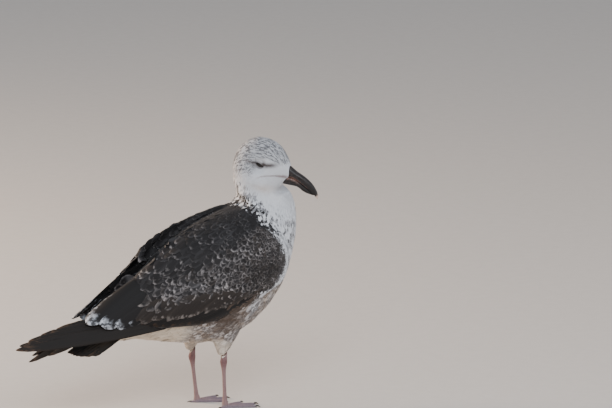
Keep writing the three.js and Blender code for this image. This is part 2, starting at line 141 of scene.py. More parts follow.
@dataclass(frozen=True)
class HeadPose:
    """Where the head is held: a point between the eyes and three turns in degrees."""

    centre: Triple = (75.8, -4.0, 316.0)
    turn: float = -39.8
    nod: float = 20.3
    tilt: float = 5.4

    def axes(self) -> Grid:
        """Forward, up and right as rows."""
        turn, nod, tilt = (math.radians(v) for v in (self.turn, self.nod, self.tilt))
        about_z = np.array(
            [[math.cos(turn), -math.sin(turn), 0], [math.sin(turn), math.cos(turn), 0], [0, 0, 1]]
        )
        about_y = np.array(
            [[math.cos(nod), 0, math.sin(nod)], [0, 1, 0], [-math.sin(nod), 0, math.cos(nod)]]
        )
        about_x = np.array(
            [[1, 0, 0], [0, math.cos(tilt), -math.sin(tilt)], [0, math.sin(tilt), math.cos(tilt)]]
        )
        basis = about_z @ about_y @ about_x
        return np.array([basis[:, 0], basis[:, 2], -basis[:, 1]])

    def place(self, forward: Grid, up: Grid, right: Grid = 0.0) -> Grid:
        """Head coordinates in millimetres as places in the frame, in millimetres."""
        parts = np.stack(np.broadcast_arrays(forward, up, right), -1).astype(float)
        return np.array(self.centre) + STANCE + parts @ self.axes()

    def measure(self, points: Grid) -> Grid:
        """Places in the frame, in millimetres, as forward, up and right on the head."""
        return (points - np.array(self.centre) - STANCE) @ self.axes().T


HEAD = HeadPose()


# ---------------- meshes from arrays


def linked(name: str, data: bpy.types.ID) -> bpy.types.Object:
    """A new object of some data, linked to the scene."""
    made = bpy.data.objects.new(name, data)
    bpy.context.scene.collection.objects.link(made)
    return made


def mesh_object(
    name: str,
    points: Grid,
    faces: Grid,
    maps: dict[str, Grid] | None = None,
    tones: dict[str, Grid] | None = None,
) -> bpy.types.Object:
    """Makes a smooth-shaded mesh object and links it to the scene.

    Args:
        name: The object's name.
        points: Vertex places in millimetres.
        faces: Vertex numbers, one face a row, all with the same number of corners.
        maps: UV maps by name, a pair for each vertex or for each corner of each face.
        tones: Colour attributes by name, up to four numbers for each vertex.

    Returns:
        The new object, riding on the bird's only body.
    """
    mesh = bpy.data.meshes.new(name)
    corners = faces.shape[1]
    mesh.vertices.add(len(points))
    mesh.vertices.foreach_set("co", (points * MM).astype(np.float32).ravel())
    mesh.loops.add(faces.size)
    mesh.loops.foreach_set("vertex_index", faces.astype(np.int32).ravel())
    mesh.polygons.add(len(faces))
    mesh.polygons.foreach_set("loop_start", np.arange(0, faces.size, corners, dtype=np.int32))
    mesh.polygons.foreach_set("use_smooth", np.ones(len(faces), bool))
    for title, pairs in (maps or {}).items():
        layer = mesh.uv_layers.new(name=title)
        corner_pairs = pairs if len(pairs) == faces.size else pairs[faces.ravel()]
        layer.uv.foreach_set("vector", corner_pairs.astype(np.float32).ravel())
    for title, colours in (tones or {}).items():
        full = np.ones((len(points), 4), np.float32)
        full[:, : colours.shape[1]] = colours
        layer = mesh.attributes.new(title, "FLOAT_COLOR", "POINT")
        layer.data.foreach_set("color", full.ravel())
    mesh.update(calc_edges=True)
    mesh.validate()
    piece = linked(name, mesh)
    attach(piece, "root")
    return piece


def grid_faces(rows: int, columns: int, wrap: bool = False) -> Grid:
    """The quads of a grid of vertices numbered row by row.

    Args:
        rows: How many rows of vertices there are.
        columns: How many vertices a row has.
        wrap: Whether each row closes on itself.

    Returns:
        Vertex numbers, one quad a row.
    """
    row, column = np.meshgrid(np.arange(rows - 1), np.arange(columns - (not wrap)), indexing="ij")
    after = (column + 1) % columns
    quads = [row * columns + column, row * columns + after]
    quads += [(row + 1) * columns + after, (row + 1) * columns + column]
    return np.stack(quads, -1).reshape(-1, 4)


def split(quads: Grid) -> Grid:
    """Two triangles for each quad."""
    return np.vstack([quads[:, [0, 1, 2]], quads[:, [0, 2, 3]]])


def laid(ways: Grid, normals: Grid) -> Grid:
    """Directions turned flat onto a surface with these normals, at length one."""
    return unit(ways - (ways * normals).sum(1, keepdims=True) * normals)


def read_mesh(mesh: bpy.types.Mesh) -> tuple[Grid, Grid]:
    """A mesh's vertex places in millimetres and its triangles."""
    mesh.calc_loop_triangles()
    points = np.zeros(len(mesh.vertices) * 3, np.float32)
    mesh.vertices.foreach_get("co", points)
    triangles = np.zeros(len(mesh.loop_triangles) * 3, np.int32)
    mesh.loop_triangles.foreach_get("vertices", triangles)
    return points.reshape(-1, 3).astype(float) / MM, triangles.reshape(-1, 3)


def vertex_normals(points: Grid, faces: Grid) -> Grid:
    """Unit normals at the vertices, weighted by the area of the faces around them."""
    a, b, c = (points[faces[:, k]] for k in range(3))
    face_normals = np.cross(b - a, c - a)
    total = np.zeros_like(points)
    for k in range(faces.shape[1]):
        np.add.at(total, faces[:, k], face_normals)
    return unit(total)


def facing_out(points: Grid, faces: Grid) -> Grid:
    """The faces of a closed mesh, turned over if they face inward."""
    a, b, c = (points[faces[:, k]] for k in range(3))
    volume = (np.cross(a - points.mean(0), b - points.mean(0)) * (c - points.mean(0))).sum()
    return faces if volume > 0 else faces[:, ::-1]


def relaxed(points: Grid, faces: Grid, rounds: int) -> Grid:
    """Points moved halfway to the mean of their neighbours, several times."""
    pairs = np.vstack([np.roll(faces, k, axis=1)[:, :2] for k in range(faces.shape[1])])
    ends = np.concatenate([pairs[:, 0], pairs[:, 1]])
    others = np.concatenate([pairs[:, 1], pairs[:, 0]])
    count = np.bincount(ends, minlength=len(points))[:, None]
    for _ in range(rounds):
        total = np.stack(
            [np.bincount(ends, points[others, k], minlength=len(points)) for k in range(3)], -1
        )
        points = 0.5 * points + 0.5 * total / np.maximum(count, 1)
    return points


def modified(source: bpy.types.Object, kind: str, **settings: object) -> bpy.types.Mesh:
    """The mesh that one modifier makes of an object, which is then deleted.

    Args:
        source: The object, which is used up.
        kind: The modifier's type.
        **settings: The modifier's own settings.

    Returns:
        The new mesh.
    """
    modifier = source.modifiers.new(kind, kind)
    for title, value in settings.items():
        setattr(modifier, title, value)
    bpy.context.view_layer.update()
    graph = bpy.context.evaluated_depsgraph_get()
    mesh = bpy.data.meshes.new_from_object(source.evaluated_get(graph))
    bpy.data.objects.remove(source)
    return mesh


# ---------------- surfaces feathers lie on


class Surface:
    """A smooth surface that points can be laid on."""

    def __init__(self, points: Grid, faces: Grid) -> None:
        """Keeps the mesh, its normals and a search tree."""
        self.points = points
        self.faces = faces
        self.normals = vertex_normals(points, faces)
        self.face_normals = unit(self.normals[faces].mean(axis=1))
        self.tree = BVHTree.FromPolygons(points.tolist(), faces.tolist())

    def snap(self, places: Grid) -> tuple[Grid, Grid]:
        """The nearest points on the surface and their normals."""
        near = np.empty((len(places), 3))
        index = np.empty(len(places), int)
        find = self.tree.find_nearest
        for i, place in enumerate(places):
            near[i], _, index[i], _ = find(place)
        return near, self.face_normals[index]

    def heights(self, places: Grid) -> Grid:
        """How far places in an array of any shape lie above the surface."""
        near, normals = self.snap(places.reshape(-1, 3))
        gap = places - near.reshape(places.shape)
        return (gap * normals.reshape(places.shape)).sum(-1)

    def scatter(self, rng: np.random.Generator, count: int, gaps: Grid) -> Grid:
        """Random points, thicker where the gap wanted at a face is small."""
        a, b, c = (self.points[self.faces[:, k]] for k in range(3))
        weight = np.linalg.norm(np.cross(b - a, c - a), axis=1) / gaps**2
        index = rng.choice(len(weight), count, p=weight / weight.sum())
        u, v = rng.random((2, count, 1))
        flip = (u + v) > 1
        u, v = np.where(flip, 1 - u, u), np.where(flip, 1 - v, v)
        return a[index] + u * (b[index] - a[index]) + v * (c[index] - a[index])


# ---------------- the way feathers lie


SPINE_KNOTS = np.vstack(
    [
        HEAD.place(44, -3),
        HEAD.place(22, 2),
        HEAD.place(0, 4),
        HEAD.place(-12, -8),
        STANCE + [76.8, 4.4, 288.6],
        STANCE + [84.8, 4.0, 262.5],
        STANCE + [76.0, 2.0, 226.0],
        STANCE + [50.0, 0.0, 193.0],
        STANCE + [20.0, 0.0, 172.0],
        STANCE + [-10.0, 0.0, 163.0],
        STANCE + [-45.0, 0.0, 155.0],
        STANCE + [-78.0, 0.0, 146.0],
        STANCE + [-112.0, 0.0, 132.0],
        STANCE + [-150.0, 0.0, 113.0],
        STANCE + [-200.0, 0.0, 90.0],
    ]
)

WING_GUIDES = np.array(  # forward, up, and the way along both
    [
        [150, 226, -0.55, -0.84], [152, 195, -0.50, -0.87], [140, 168, -0.80, -0.60],
        [110, 240, -0.80, -0.60], [112, 200, -0.74, -0.67], [80, 150, -0.93, -0.36],
        [60, 215, -0.82, -0.57], [40, 130, -0.96, -0.28], [40, 180, -0.88, -0.48],
        [0, 215, -0.80, -0.60], [-20, 150, -0.94, -0.34], [-60, 160, -0.84, -0.54],
        [-60, 120, -0.97, -0.24],
    ]
)


@dataclass
class Lie:
    """The way that feathers lie anywhere on the bird, and how far along it they are."""

    spine: Grid = field(default_factory=lambda: curve_points(SPINE_KNOTS, 120))
    softness: float = 30.0
    block: int = 4000  # points handled at once

    def __post_init__(self) -> None:
        """Keeps the spine's directions and its length up to each of its points."""
        self.tangents = unit(np.gradient(self.spine, axis=0))
        steps = np.linalg.norm(np.diff(self.spine, axis=0), axis=1)
        self.lengths = np.concatenate([[0], np.cumsum(steps)])

    def gaps(self, points: Grid) -> Iterable[tuple[slice, Grid]]:
        """Squared distances from the spine's points, for one block of points at a time."""
        for start in range(0, len(points), self.block):
            part = slice(start, start + self.block)
            yield part, ((points[part, None] - self.spine[None]) ** 2).sum(-1)

    def flow(self, points: Grid) -> Grid:
        """The way from bill to tail at each point, before it is laid on the surface."""
        out = np.empty_like(points)
        for part, gap in self.gaps(points):
            weight = (gap + self.softness) ** -3
            out[part] = weight @ self.tangents
        return unit(out)

    @staticmethod
    def wing_flow(points: Grid) -> Grid:
        """The way feathers lie on a folded wing, from its bend backward and down."""
        way = guide_weights(points[:, [0, 2]], WING_GUIDES[:, :2], 60.0) @ WING_GUIDES[:, 2:]
        return unit(np.stack([way[:, 0], np.zeros(len(way)), way[:, 1]], -1))

    def unrolled(self, points: Grid) -> Grid:
        """Each point's turn about the spine and share of its length, both from 0 to 1."""
        nearest = np.empty(len(points), int)
        for part, gap in self.gaps(points):
            nearest[part] = gap.argmin(1)
        tangent = self.tangents[nearest]
        out = points - self.spine[nearest]
        side = unit(np.cross(tangent, np.array([0.0, 0.0, 1.0])) + np.array([0.0, 1e-3, 0.0]))
        rise = np.cross(side, tangent)
        angle = np.arctan2((out * side).sum(1), (out * rise).sum(1))
        return np.stack([angle / (2 * math.pi) + 0.5, self.lengths[nearest] / self.lengths[-1]], -1)


LIE = Lie()


# ---------------- colours of the plumage


@dataclass(frozen=True)
class Tints:
    """The colours that the plumage is painted with."""

    # White plumage, toned a little darker and bluer as painted cool shade.
    white: Triple = srgb(219, 221, 226)
    cream: Triple = srgb(222, 207, 186)
    buff: Triple = srgb(186, 165, 145)
    streak: Triple = srgb(60, 60, 66)
    spot: Triple = srgb(48, 44, 46)
    brown: Triple = srgb(84, 68, 57)
    slate: Triple = srgb(46, 45, 47)
    soot: Triple = srgb(27, 25, 26)
    covert: Triple = srgb(60, 54, 51)
    frost: Triple = srgb(164, 164, 170)
    # Worn brown edges, warmed towards orange as painted rim light from behind.
    worn: Triple = srgb(104, 80, 62)
    smudge: Triple = srgb(74, 64, 62)
    gape: Triple = srgb(118, 84, 80)


TINTS = Tints()


@dataclass
class Paint:
    """What the plumage looks like at some points: colours and how each vane is marked."""

    ground: Grid
    mark: Grid
    fringe: Grid
    pattern: Grid  # mark strength, mark width, fringe strength, chance

    def parts(self) -> tuple[Grid, ...]:
        """All four, in the order above."""
        return self.ground, self.mark, self.fringe, self.pattern

    def pick(self, chosen: Grid) -> "Paint":
        """The same for some of the points."""
        return Paint(*(part[chosen] for part in self.parts()))

    def where(self, chosen: Grid, other: "Paint") -> "Paint":
        """This paint at the chosen points and another at the rest."""
        pairs = zip(self.parts(), other.parts())
        return Paint(*(np.where(chosen[:, None], mine, its) for mine, its in pairs))

    def tones(self, times: int = 1) -> dict[str, Grid]:
        """The colour attributes that a finish reads, with each row given several times."""
        parts = (np.repeat(part, times, axis=0) for part in self.parts())
        return dict(zip(("Ground", "Mark", "Fringe", "Pattern"), parts))

    def shown(self) -> Grid:
        """One colour a point, for the skin between the vanes."""
        share = (0.45 * self.pattern[:, 0] * smoothstep(0.2, 0.9, self.pattern[:, 1]))[:, None]
        return self.ground * (1 - share) + self.mark * share


def ahead_of_mantle(points: Grid) -> Grid:
    """How far each point is ahead of the line from the nape to the wing's bend."""
    return 0.877 * points[:, 0] + 0.48 * points[:, 2] - 231.5


class Plumage:
    """Paints markings by place, the same for the skin and for the feathers on it.

    The numbers in it are places and widths in millimetres, or shares from 0 to 1.
    """

    def __init__(self, seed: int = 11) -> None:
        """Keeps a repeatable source of chance."""
        self.rng = np.random.default_rng(seed)

    @staticmethod
    def blend(low: Grid, high: Sequence[float], share: Grid) -> Grid:
        """Colours moved towards one colour by a share for each row."""
        share = np.clip(share, 0, 1)[:, None]
        return low * (1 - share) + np.array(high) * share

    def body(self, points: Grid) -> Paint:
        """Paints the head, neck, trunk and thighs.

        Args:
            points: Places in millimetres.

        Returns:
            Their paint.
        """
        count = len(points)
        x, y, z = points.T
        chance = self.rng.random(count)
        luck = self.rng.random(count)
        forward, up, right = HEAD.measure(points).T
        ground = rows_of(TINTS.white, count)
        coarse = noise_at(points, 14.0, 1.0)
        ground *= (1.0 + 0.05 * coarse + 0.05 * (luck - 0.5))[:, None]
        mark = rows_of(TINTS.streak, count)
        strength = np.zeros(count)
        width = np.full(count, 0.5)
        fringe_strength = np.zeros(count)
        fringe = rows_of(TINTS.white, count)

        # Head: fine streaks that run with the lie, closest on the crown and nape.
        on_head = smoothstep(-46, -30, up + 0.35 * forward)
        around = np.arctan2(np.abs(right), up + 22.0) * 34.0
        cells = zip(around / 0.9, forward / 7.0, 3.0 + np.sign(right))
        lines = np.array([noise.noise(Vector(cell)) for cell in cells])
        crown = smoothstep(5, 14, up) * smoothstep(38, 31, forward)
        ear = smoothstep(4, -8, forward) * smoothstep(-17, -8, up) * smoothstep(16, 4, up)
        nape = smoothstep(-12, -24, forward) * smoothstep(-34, -10, up)
        brow = patch_at(forward, up, (8, 8), (90, 12))
        share = np.clip(0.95 * crown + 0.7 * ear + 0.7 * nape - 0.6 * brow, 0, 1) * on_head
        streaked = share * smoothstep(-0.12, 0.2, lines + 0.35 * (luck - 0.5))
        strength = np.maximum(strength, 0.85 * streaked)
        grey = smoothstep(0.2, 0.9, share) * 0.26 + 0.44 * streaked
        ground = self.blend(ground, TINTS.streak, grey)

        # A dusky smudge in front of the eye, a dark line behind it, and the gape's line.
        beside = np.abs(right) > 10
        axis = 3.2 + 0.28 * (forward - 8.0)
        smudge = bell(up - axis + 0.6, 3.2) * smoothstep(2, 6, forward)
        smudge *= smoothstep(30, 16, forward) * beside
        behind = bell(up - 2.8 + 0.1 * (forward + 14), 1.5)
        behind *= smoothstep(-3, -6, forward) * smoothstep(-20, -11, forward) * beside
        ring = bell(np.hypot(forward + 0.5, 1.5 * up) - 6.4, 1.6) * beside * 0.5
        around_eye = np.clip(0.95 * smudge + 0.95 * behind + ring, 0, 0.95)
        ground = self.blend(ground, TINTS.smudge, around_eye)
        gape_up = np.interp(forward, [0, 10, 20, 26, 34], [-14.6, -11.2, -8.0, -6.4, -5.4])
        gape_width = 0.7 + 1.1 * smoothstep(22, 36, forward)
        gape = bell(up - gape_up, gape_width) * smoothstep(1, 14, forward)
        gape *= smoothstep(44, 36, forward) * (np.abs(right) > 6)
        ground = self.blend(ground, TINTS.gape, 0.75 * gape)
        # A buff wash under the chin and bill is painted shade beneath the head.
        chin_shade = patch_at(forward, up, (16, -23), (200, 18))
        ground = self.blend(ground, TINTS.buff, 0.5 * chin_shade)
        face = smoothstep(-2, 6, forward) * (crown < 0.3)
        strength *= 1 - np.clip(face + gape, 0, 1)

        # Neck and breast: scattered drops, thicker to the sides and towards the mantle.
        line = ahead_of_mantle(points) - 0.03 * np.abs(y)
        below_head = smoothstep(-25, -35, up + 0.35 * forward)
        patch = smoothstep(-0.25, 0.5, noise_at(points, 9.0, 4.0))
        near_mantle = np.exp(-np.clip(line, 0, None) / 13.0)
        sides = smoothstep(6, 27, np.abs(y)) * smoothstep(175, 200, z)
        chest = 0.21 + 0.60 * near_mantle + 0.46 * sides
        low = smoothstep(208, 165, z) * smoothstep(15, 45, x)
        low *= 1 - 0.9 * patch_at(x, z, (121, 141), (50, 160))
        density = np.clip(chest * (0.35 + patch) + low * (0.66 + 0.4 * patch), 0, 0.97)
        drops = noise_at(points * np.array([1.0, 1.0, 0.62]), 3.6, 5.0)
        least = 0.36 - 0.62 * density + 0.12 * (luck - 0.5)
        spots = smoothstep(least, least + 0.14, drops) * below_head * (1 - 0.25 * low)
        spots *= 1 - 0.45 * (1 - luck) * (1 - low)
        strength = np.maximum(strength, spots)
        mark = self.blend(mark, TINTS.spot, below_head * 0.9)
        mark = self.blend(mark, TINTS.brown, low * 0.6)
        width = np.where(below_head > 0.5, 0.65 + 0.4 * chance, width)
        wash = low * (0.34 + 0.42 * patch)
        ground = self.blend(ground, TINTS.buff, wash)

        # Belly and undertail: cream, without marks behind the legs.
        rear = smoothstep(48, 22, x) * smoothstep(175, 140, z)
        ground = self.blend(ground, TINTS.cream, rear * 0.9)
        strength *= 1 - 0.9 * rear
        flank = patch_at(x, z, (88, 129), (560, 250)) * (np.abs(y) > 30)
        ground = self.blend(ground, TINTS.brown, 0.9 * flank)
        under = patch_at(x, z, (84, 113), (900, 260)) * (0.35 + 0.55 * patch)
        ground = self.blend(ground, TINTS.brown, under)
        thigh = smoothstep(98, 88, z) * (x > 40)
        ground = self.blend(ground, TINTS.cream, 0.6 * thigh)
        strength *= 1 - 0.6 * thigh

        # Mantle: dark slate behind a line from the nape to the wing's bend.
        edge = line - 4.5 + 4.0 * coarse + 19.0 * (chance - 0.5)
        edge = np.where(line < -3.5, np.minimum(edge, -3.0), edge)
        mantle = smoothstep(3.0, -3.0, edge) * smoothstep(155, 170, z - 0.4 * (x + 30) + 30)
        dark = self.blend(rows_of(TINTS.slate, count), TINTS.soot, luck)
        ground = ground * (1 - mantle[:, None]) + dark * mantle[:, None]
        strength = np.where(mantle > 0.5, 0.8 * chance, strength)
        mark = self.blend(mark, TINTS.soot, mantle)
        fringe = self.blend(fringe, TINTS.frost, mantle)
        fringe_strength = np.where(mantle > 0.5, 0.10 + 0.35 * luck * luck, fringe_strength)
        pattern = np.stack([strength, width, fringe_strength, chance], -1)
        return Paint(ground, mark, fringe, pattern)

    def wing(self, points: Grid, scapular: Grid) -> Paint:
        """Paints the scapulars and the wing coverts.

        Args:
            points: Places in millimetres.
            scapular: Whether each one is on the scapulars.

        Returns:
            Their paint.
        """
        count = len(points)
        x, y, z = points.T
        chance = self.rng.random(count)
        luck = self.rng.random(count)
        coarse = noise_at(points, 16.0, 7.0)
        fine = noise_at(points, 6.0, 9.0)
        slate = self.blend(rows_of(TINTS.slate, count), TINTS.soot, 0.2 + 0.6 * luck)
        brown = self.blend(rows_of(TINTS.covert, count), TINTS.soot, 0.7 * luck)
        ground = np.where(scapular[:, None], slate, brown)
        ground *= (1 + 0.2 * coarse + 0.15 * fine)[:, None]
        mark = rows_of(TINTS.soot, count)
        strength = np.where(scapular, 0.5 + 0.3 * chance, 0.55 + 0.45 * chance)
        width = 0.35 + 0.35 * luck
        frost_zone = patch_at(x, z, (40, 168), (3200, 500))
        middle = patch_at(x, z, (70, 205), (500, 200))
        wrist = patch_at(x, z, (118, 222), (300, 400))
        dark_front = patch_at(x, z, (118, 186), (500, 700))
        amount = 0.26 + 0.5 * frost_zone + 0.2 * middle + 0.15 * wrist - 0.22 * dark_front
        on_covert = np.clip(amount + 0.45 * coarse + 0.35 * (chance - 0.5), 0.02, 0.95)
        tips = patch_at(x, z, (-8, 208), (900, 700))
        tips += 1.6 * patch_at(x, np.abs(y), (-6, 24), (700, 30))
        scapular_edge = 0.10 + 0.3 * coarse + 0.25 * (chance - 0.5) + 0.35 * tips
        fringe_strength = np.where(scapular, np.clip(scapular_edge, 0.02, 0.85), on_covert)
        fringe = rows_of(TINTS.frost, count)
        fringe = self.blend(fringe, TINTS.buff, 0.25 + 0.5 * smoothstep(175, 140, z))
        frosted = np.clip(0.16 * amount + 0.3 * fine * amount + 0.1 * (chance - 0.5), 0, 0.3)
        ground = self.blend(ground, TINTS.frost, np.where(scapular, 0.3 * frosted, frosted))

        # The lower front of the wing is covered by plain brown flank feathers.
        edge = np.interp(x, [55, 80, 105, 130], [138, 150, 160, 170])
        flank = smoothstep(4, -6, z - edge) * smoothstep(50, 66, x) * smoothstep(126, 108, x)
        ground = self.blend(ground, TINTS.brown, 0.85 * flank)
        strength *= 1 - 0.6 * flank
        fringe_strength *= 1 - 0.5 * flank

        # Spotted white breast feathers lie over the wing's front edge.
        border = np.interp(
            z,
            [150, 161, 164, 178, 192, 205, 221, 236, 243, 250],
            [116, 122, 138, 148, 153, 152, 148, 138, 132, 128],
        )
        breast = smoothstep(-2.5, 2.5, x - border + 3.0 * fine + 5.0 * (luck - 0.5))
        white = rows_of(TINTS.white, count) * (1 + 0.05 * coarse)[:, None]
        ground = ground * (1 - breast[:, None]) + white * breast[:, None]
        mark = self.blend(mark, TINTS.spot, breast)
        strength = np.where(breast > 0.5, (chance < 0.55) * 0.95, strength)
        width = np.where(breast > 0.5, 0.35 + 0.3 * luck, width)
        fringe = self.blend(fringe, TINTS.white, breast)
        pattern = np.stack([strength, width, fringe_strength, chance], -1)
        return Paint(ground, mark, fringe, pattern)


# ---------------- node graphs


class Shade:
    """Builds shader nodes in a tree, whether a material's or a group's."""

    def __init__(self, tree: bpy.types.NodeTree) -> None:
        """Keeps the tree."""
        self.tree = tree

    def node(self, kind: str, **inputs: object) -> bpy.types.Node:
        """A node with some inputs set or linked, by name with _ for spaces."""
        made = self.tree.nodes.new(kind)
        for title, value in inputs.items():
            self.feed(made.inputs[title.replace("_", " ")], value)
        return made

    def feed(self, socket: bpy.types.NodeSocket, value: object) -> None:
        """Links or sets one input."""
        if isinstance(value, bpy.types.NodeSocket):
            self.tree.links.new(value, socket)
        elif isinstance(value, tuple) and socket.type == "RGBA":
            socket.default_value = (*value[:3], 1.0)
        else:
            socket.default_value = value

    def maths(self, operation: str, *values: object) -> bpy.types.NodeSocket:
        """The result of one maths operation on sockets or numbers."""
        made = self.tree.nodes.new("ShaderNodeMath")
        made.operation = operation
        for socket, value in zip(made.inputs, values):
            self.feed(socket, value)
        return made.outputs[0]

    def plus(self, *values: object) -> object:
        """The sum of two sockets or numbers."""
        return self.maths("ADD", *values)

    def times(self, *values: object) -> object:
        """The product of sockets or numbers."""
        product = values[0]
        for value in values[1:]:
            product = self.maths("MULTIPLY", product, value)
        return product

    def ramp(self, value: object, low: float, high: float, to: tuple = (0.0, 1.0)) -> object:
        """A smooth rise of a value between two limits."""
        made = self.node("ShaderNodeMapRange", Value=value)
        made.interpolation_type = "SMOOTHSTEP"
        for title, number in zip(("From Min", "From Max", "To Min", "To Max"), (low, high, *to)):
            made.inputs[title].default_value = number
        return made.outputs["Result"]

    def mix(self, share: object, low: object, high: object, way: str = "MIX") -> object:
        """Two colours mixed by a share."""
        made = self.tree.nodes.new("ShaderNodeMix")
        made.data_type = "RGBA"
        made.blend_type = way
        self.feed(made.inputs[0], share)
        self.feed(made.inputs[6], low)
        self.feed(made.inputs[7], high)
        return made.outputs[2]

    def grain(self, scale: float, detail: float = 2.0, vector: object = None) -> object:
        """Noise from 0 to 1 at a scale."""
        made = self.node("ShaderNodeTexNoise", Scale=scale, Detail=detail)
        if vector is not None:
            self.feed(made.inputs["Vector"], vector)
        return made.outputs[0]

    def stretched(self, vector: object, scale: tuple) -> object:
        """A vector scaled along its axes."""
        return self.node("ShaderNodeMapping", Vector=vector, Scale=scale).outputs[0]

    def vector(self, x: object, y: object, z: object) -> object:
        """A vector of three numbers."""
        return self.node("ShaderNodeCombineXYZ", X=x, Y=y, Z=z).outputs[0]

    def place(self) -> object:
        """Where the shaded point lies on its object."""
        return self.tree.nodes.new("ShaderNodeTexCoord").outputs["Object"]

    def toned(self, colour: object, tone: object) -> object:
        """A colour made lighter or darker by a factor."""
        return self.mix(1.0, colour, self.vector(tone, tone, tone), "MULTIPLY")


class Group:
    """A shader node group with named sockets, built once."""

    FLOAT = "NodeSocketFloat"
    COLOUR = "NodeSocketColor"
    VECTOR = "NodeSocketVector"

    def __init__(self, name: str, inputs: dict[str, str], outputs: dict[str, str]) -> None:
        """Makes the group and its sockets."""
        self.tree = bpy.data.node_groups.new(name, "ShaderNodeTree")
        for title, kind in inputs.items():
            self.tree.interface.new_socket(title, in_out="INPUT", socket_type=kind)
        for title, kind in outputs.items():
            self.tree.interface.new_socket(title, in_out="OUTPUT", socket_type=kind)
        self.shade = Shade(self.tree)
        self.source = self.tree.nodes.new("NodeGroupInput").outputs
        self.result = self.tree.nodes.new("NodeGroupOutput").inputs

    def close(self, **values: object) -> None:
        """Links the group's outputs, by name with _ for spaces."""
        for title, value in values.items():
            self.shade.feed(self.result[title.replace("_", " ")], value)

    def place(self, shade: Shade, **inputs: object) -> dict[str, object]:
        """Puts the group in a material and returns its outputs by name."""
        made = shade.tree.nodes.new("ShaderNodeGroup")
        made.node_tree = self.tree
        for title, value in inputs.items():
            shade.feed(made.inputs[title.replace("_", " ")], value)
        return {socket.name: socket for socket in made.outputs}


def vane_marks() -> Group:
    """The marks of one vane: a central mark, a worn pale fringe and a shaft."""
    number, colour = Group.FLOAT, Group.COLOUR
    inputs = {"Across": number, "Along": number, "Ground": colour, "Mark": colour}
    inputs |= {"Fringe": colour, "Mark Strength": number, "Mark Width": number}
    inputs |= {"Fringe Strength": number, "Fringe Width": number, "Chance": number}
    inputs |= {"Place": Group.VECTOR, "Break": number}
    group = Group("Vane marks", inputs, {"Colour": colour})
    shade, given = group.shade, group.source
    side = shade.maths("ABSOLUTE", given["Across"])
    place = shade.vector(given["Across"], given["Along"], shade.times(given["Chance"], 40.0))
    ragged = shade.grain(1.0, 3.0, shade.stretched(place, (3.0, 5.0, 1.0)))
    rough = shade.maths("MULTIPLY_ADD", ragged, 0.5, -0.25)

    # The pale fringe: an arc at the tip, of its own breadth on each vane and worn in places.
    tip = shade.ramp(given["Along"], 0.55, 1.0)
    beside = shade.ramp(given["Along"], 0.62, 0.97, (0.74, 1.0))
    reach = shade.maths("MAXIMUM", shade.times(side, beside), tip)
    edge = shade.plus(reach, rough)
    breadth = shade.ramp(given["Chance"], 0.0, 1.0, (0.6, 1.7))
    breadth = shade.times(given["Fringe Width"], breadth)
    start = shade.maths("SUBTRACT", 1.0, breadth)
    rim = shade.maths("DIVIDE", shade.maths("SUBTRACT", edge, start), breadth)
    rim = shade.times(shade.ramp(rim, 0.0, 1.0), given["Fringe Strength"])
    gone = shade.ramp(shade.grain(210.0, 3.0, given["Place"]), 0.62, 0.42)
    left = shade.maths("SUBTRACT", 1.0, shade.times(gone, given["Break"]))
    rim = shade.times(rim, left)

    # The mark: a drop in the middle that starts away from the root and ends before the tip.
    width = shade.times(given["Mark Width"], shade.plus(0.75, ragged))
    middle = shade.ramp(shade.maths("DIVIDE", side, width), 1.0, 0.55)
    middle = shade.times(middle, shade.ramp(given["Along"], 0.3, 0.55))
    middle = shade.times(middle, shade.ramp(given["Along"], 1.0, 0.9))
    middle = shade.times(middle, given["Mark Strength"])
    shaft = shade.times(shade.ramp(side, 0.09, 0.02), 0.25)
    painted = shade.mix(middle, given["Ground"], given["Mark"])
    painted = shade.mix(shaft, painted, given["Mark"])
    group.close(Colour=shade.mix(rim, painted, given["Fringe"]))
    return group


def barb_relief() -> Group:
    """The fine slanting barbs of a vane, as a height and a change of shade."""
    number, colour = Group.FLOAT, Group.COLOUR
    inputs = {"Across": number, "Along": number, "Barbs": number, "Slant": number}
    inputs |= {"Chance": number, "Colour": colour, "Depth": number}
    group = Group("Barb relief", inputs, {"Colour": colour, "Height": number})
    shade, given = group.shade, group.source
    side = shade.maths("ABSOLUTE", given["Across"])
    back = shade.times(given["Slant"], -1.0)
    run = shade.maths("MULTIPLY_ADD", side, back, given["Along"])
    run = shade.times(run, given["Barbs"])
    place = shade.vector(run, shade.times(given["Across"], 1.5), shade.times(given["Chance"], 30.0))
    strands = shade.grain(1.0, 2.0, place)
    tone = shade.maths("MULTIPLY_ADD", shade.maths("SUBTRACT", strands, 0.5), given["Depth"], 1.0)
    rib = shade.times(shade.ramp(side, 0.12, 0.0), 0.8)
    group.close(
        Colour=shade.toned(given["Colour"], tone),
        Height=shade.plus(shade.times(strands, 0.6), rib),
    )
    return group


def scute_relief() -> Group:
    """Small hard scales of a bird's leg, as a height and a mask of the gaps between them."""
    inputs = {"Vector": Group.VECTOR, "Scale": Group.FLOAT}
    group = Group("Scute relief", inputs, {"Height": Group.FLOAT, "Gaps": Group.FLOAT})
    shade, given = group.shade, group.source
    cells = shade.node("ShaderNodeTexVoronoi", Vector=given["Vector"], Scale=given["Scale"])
    cells.feature = "DISTANCE_TO_EDGE"
    gaps = shade.ramp(cells.outputs[0], 0.10, 0.0)
    group.close(Height=shade.ramp(cells.outputs[0], 0.0, 0.3), Gaps=gaps)
    return group


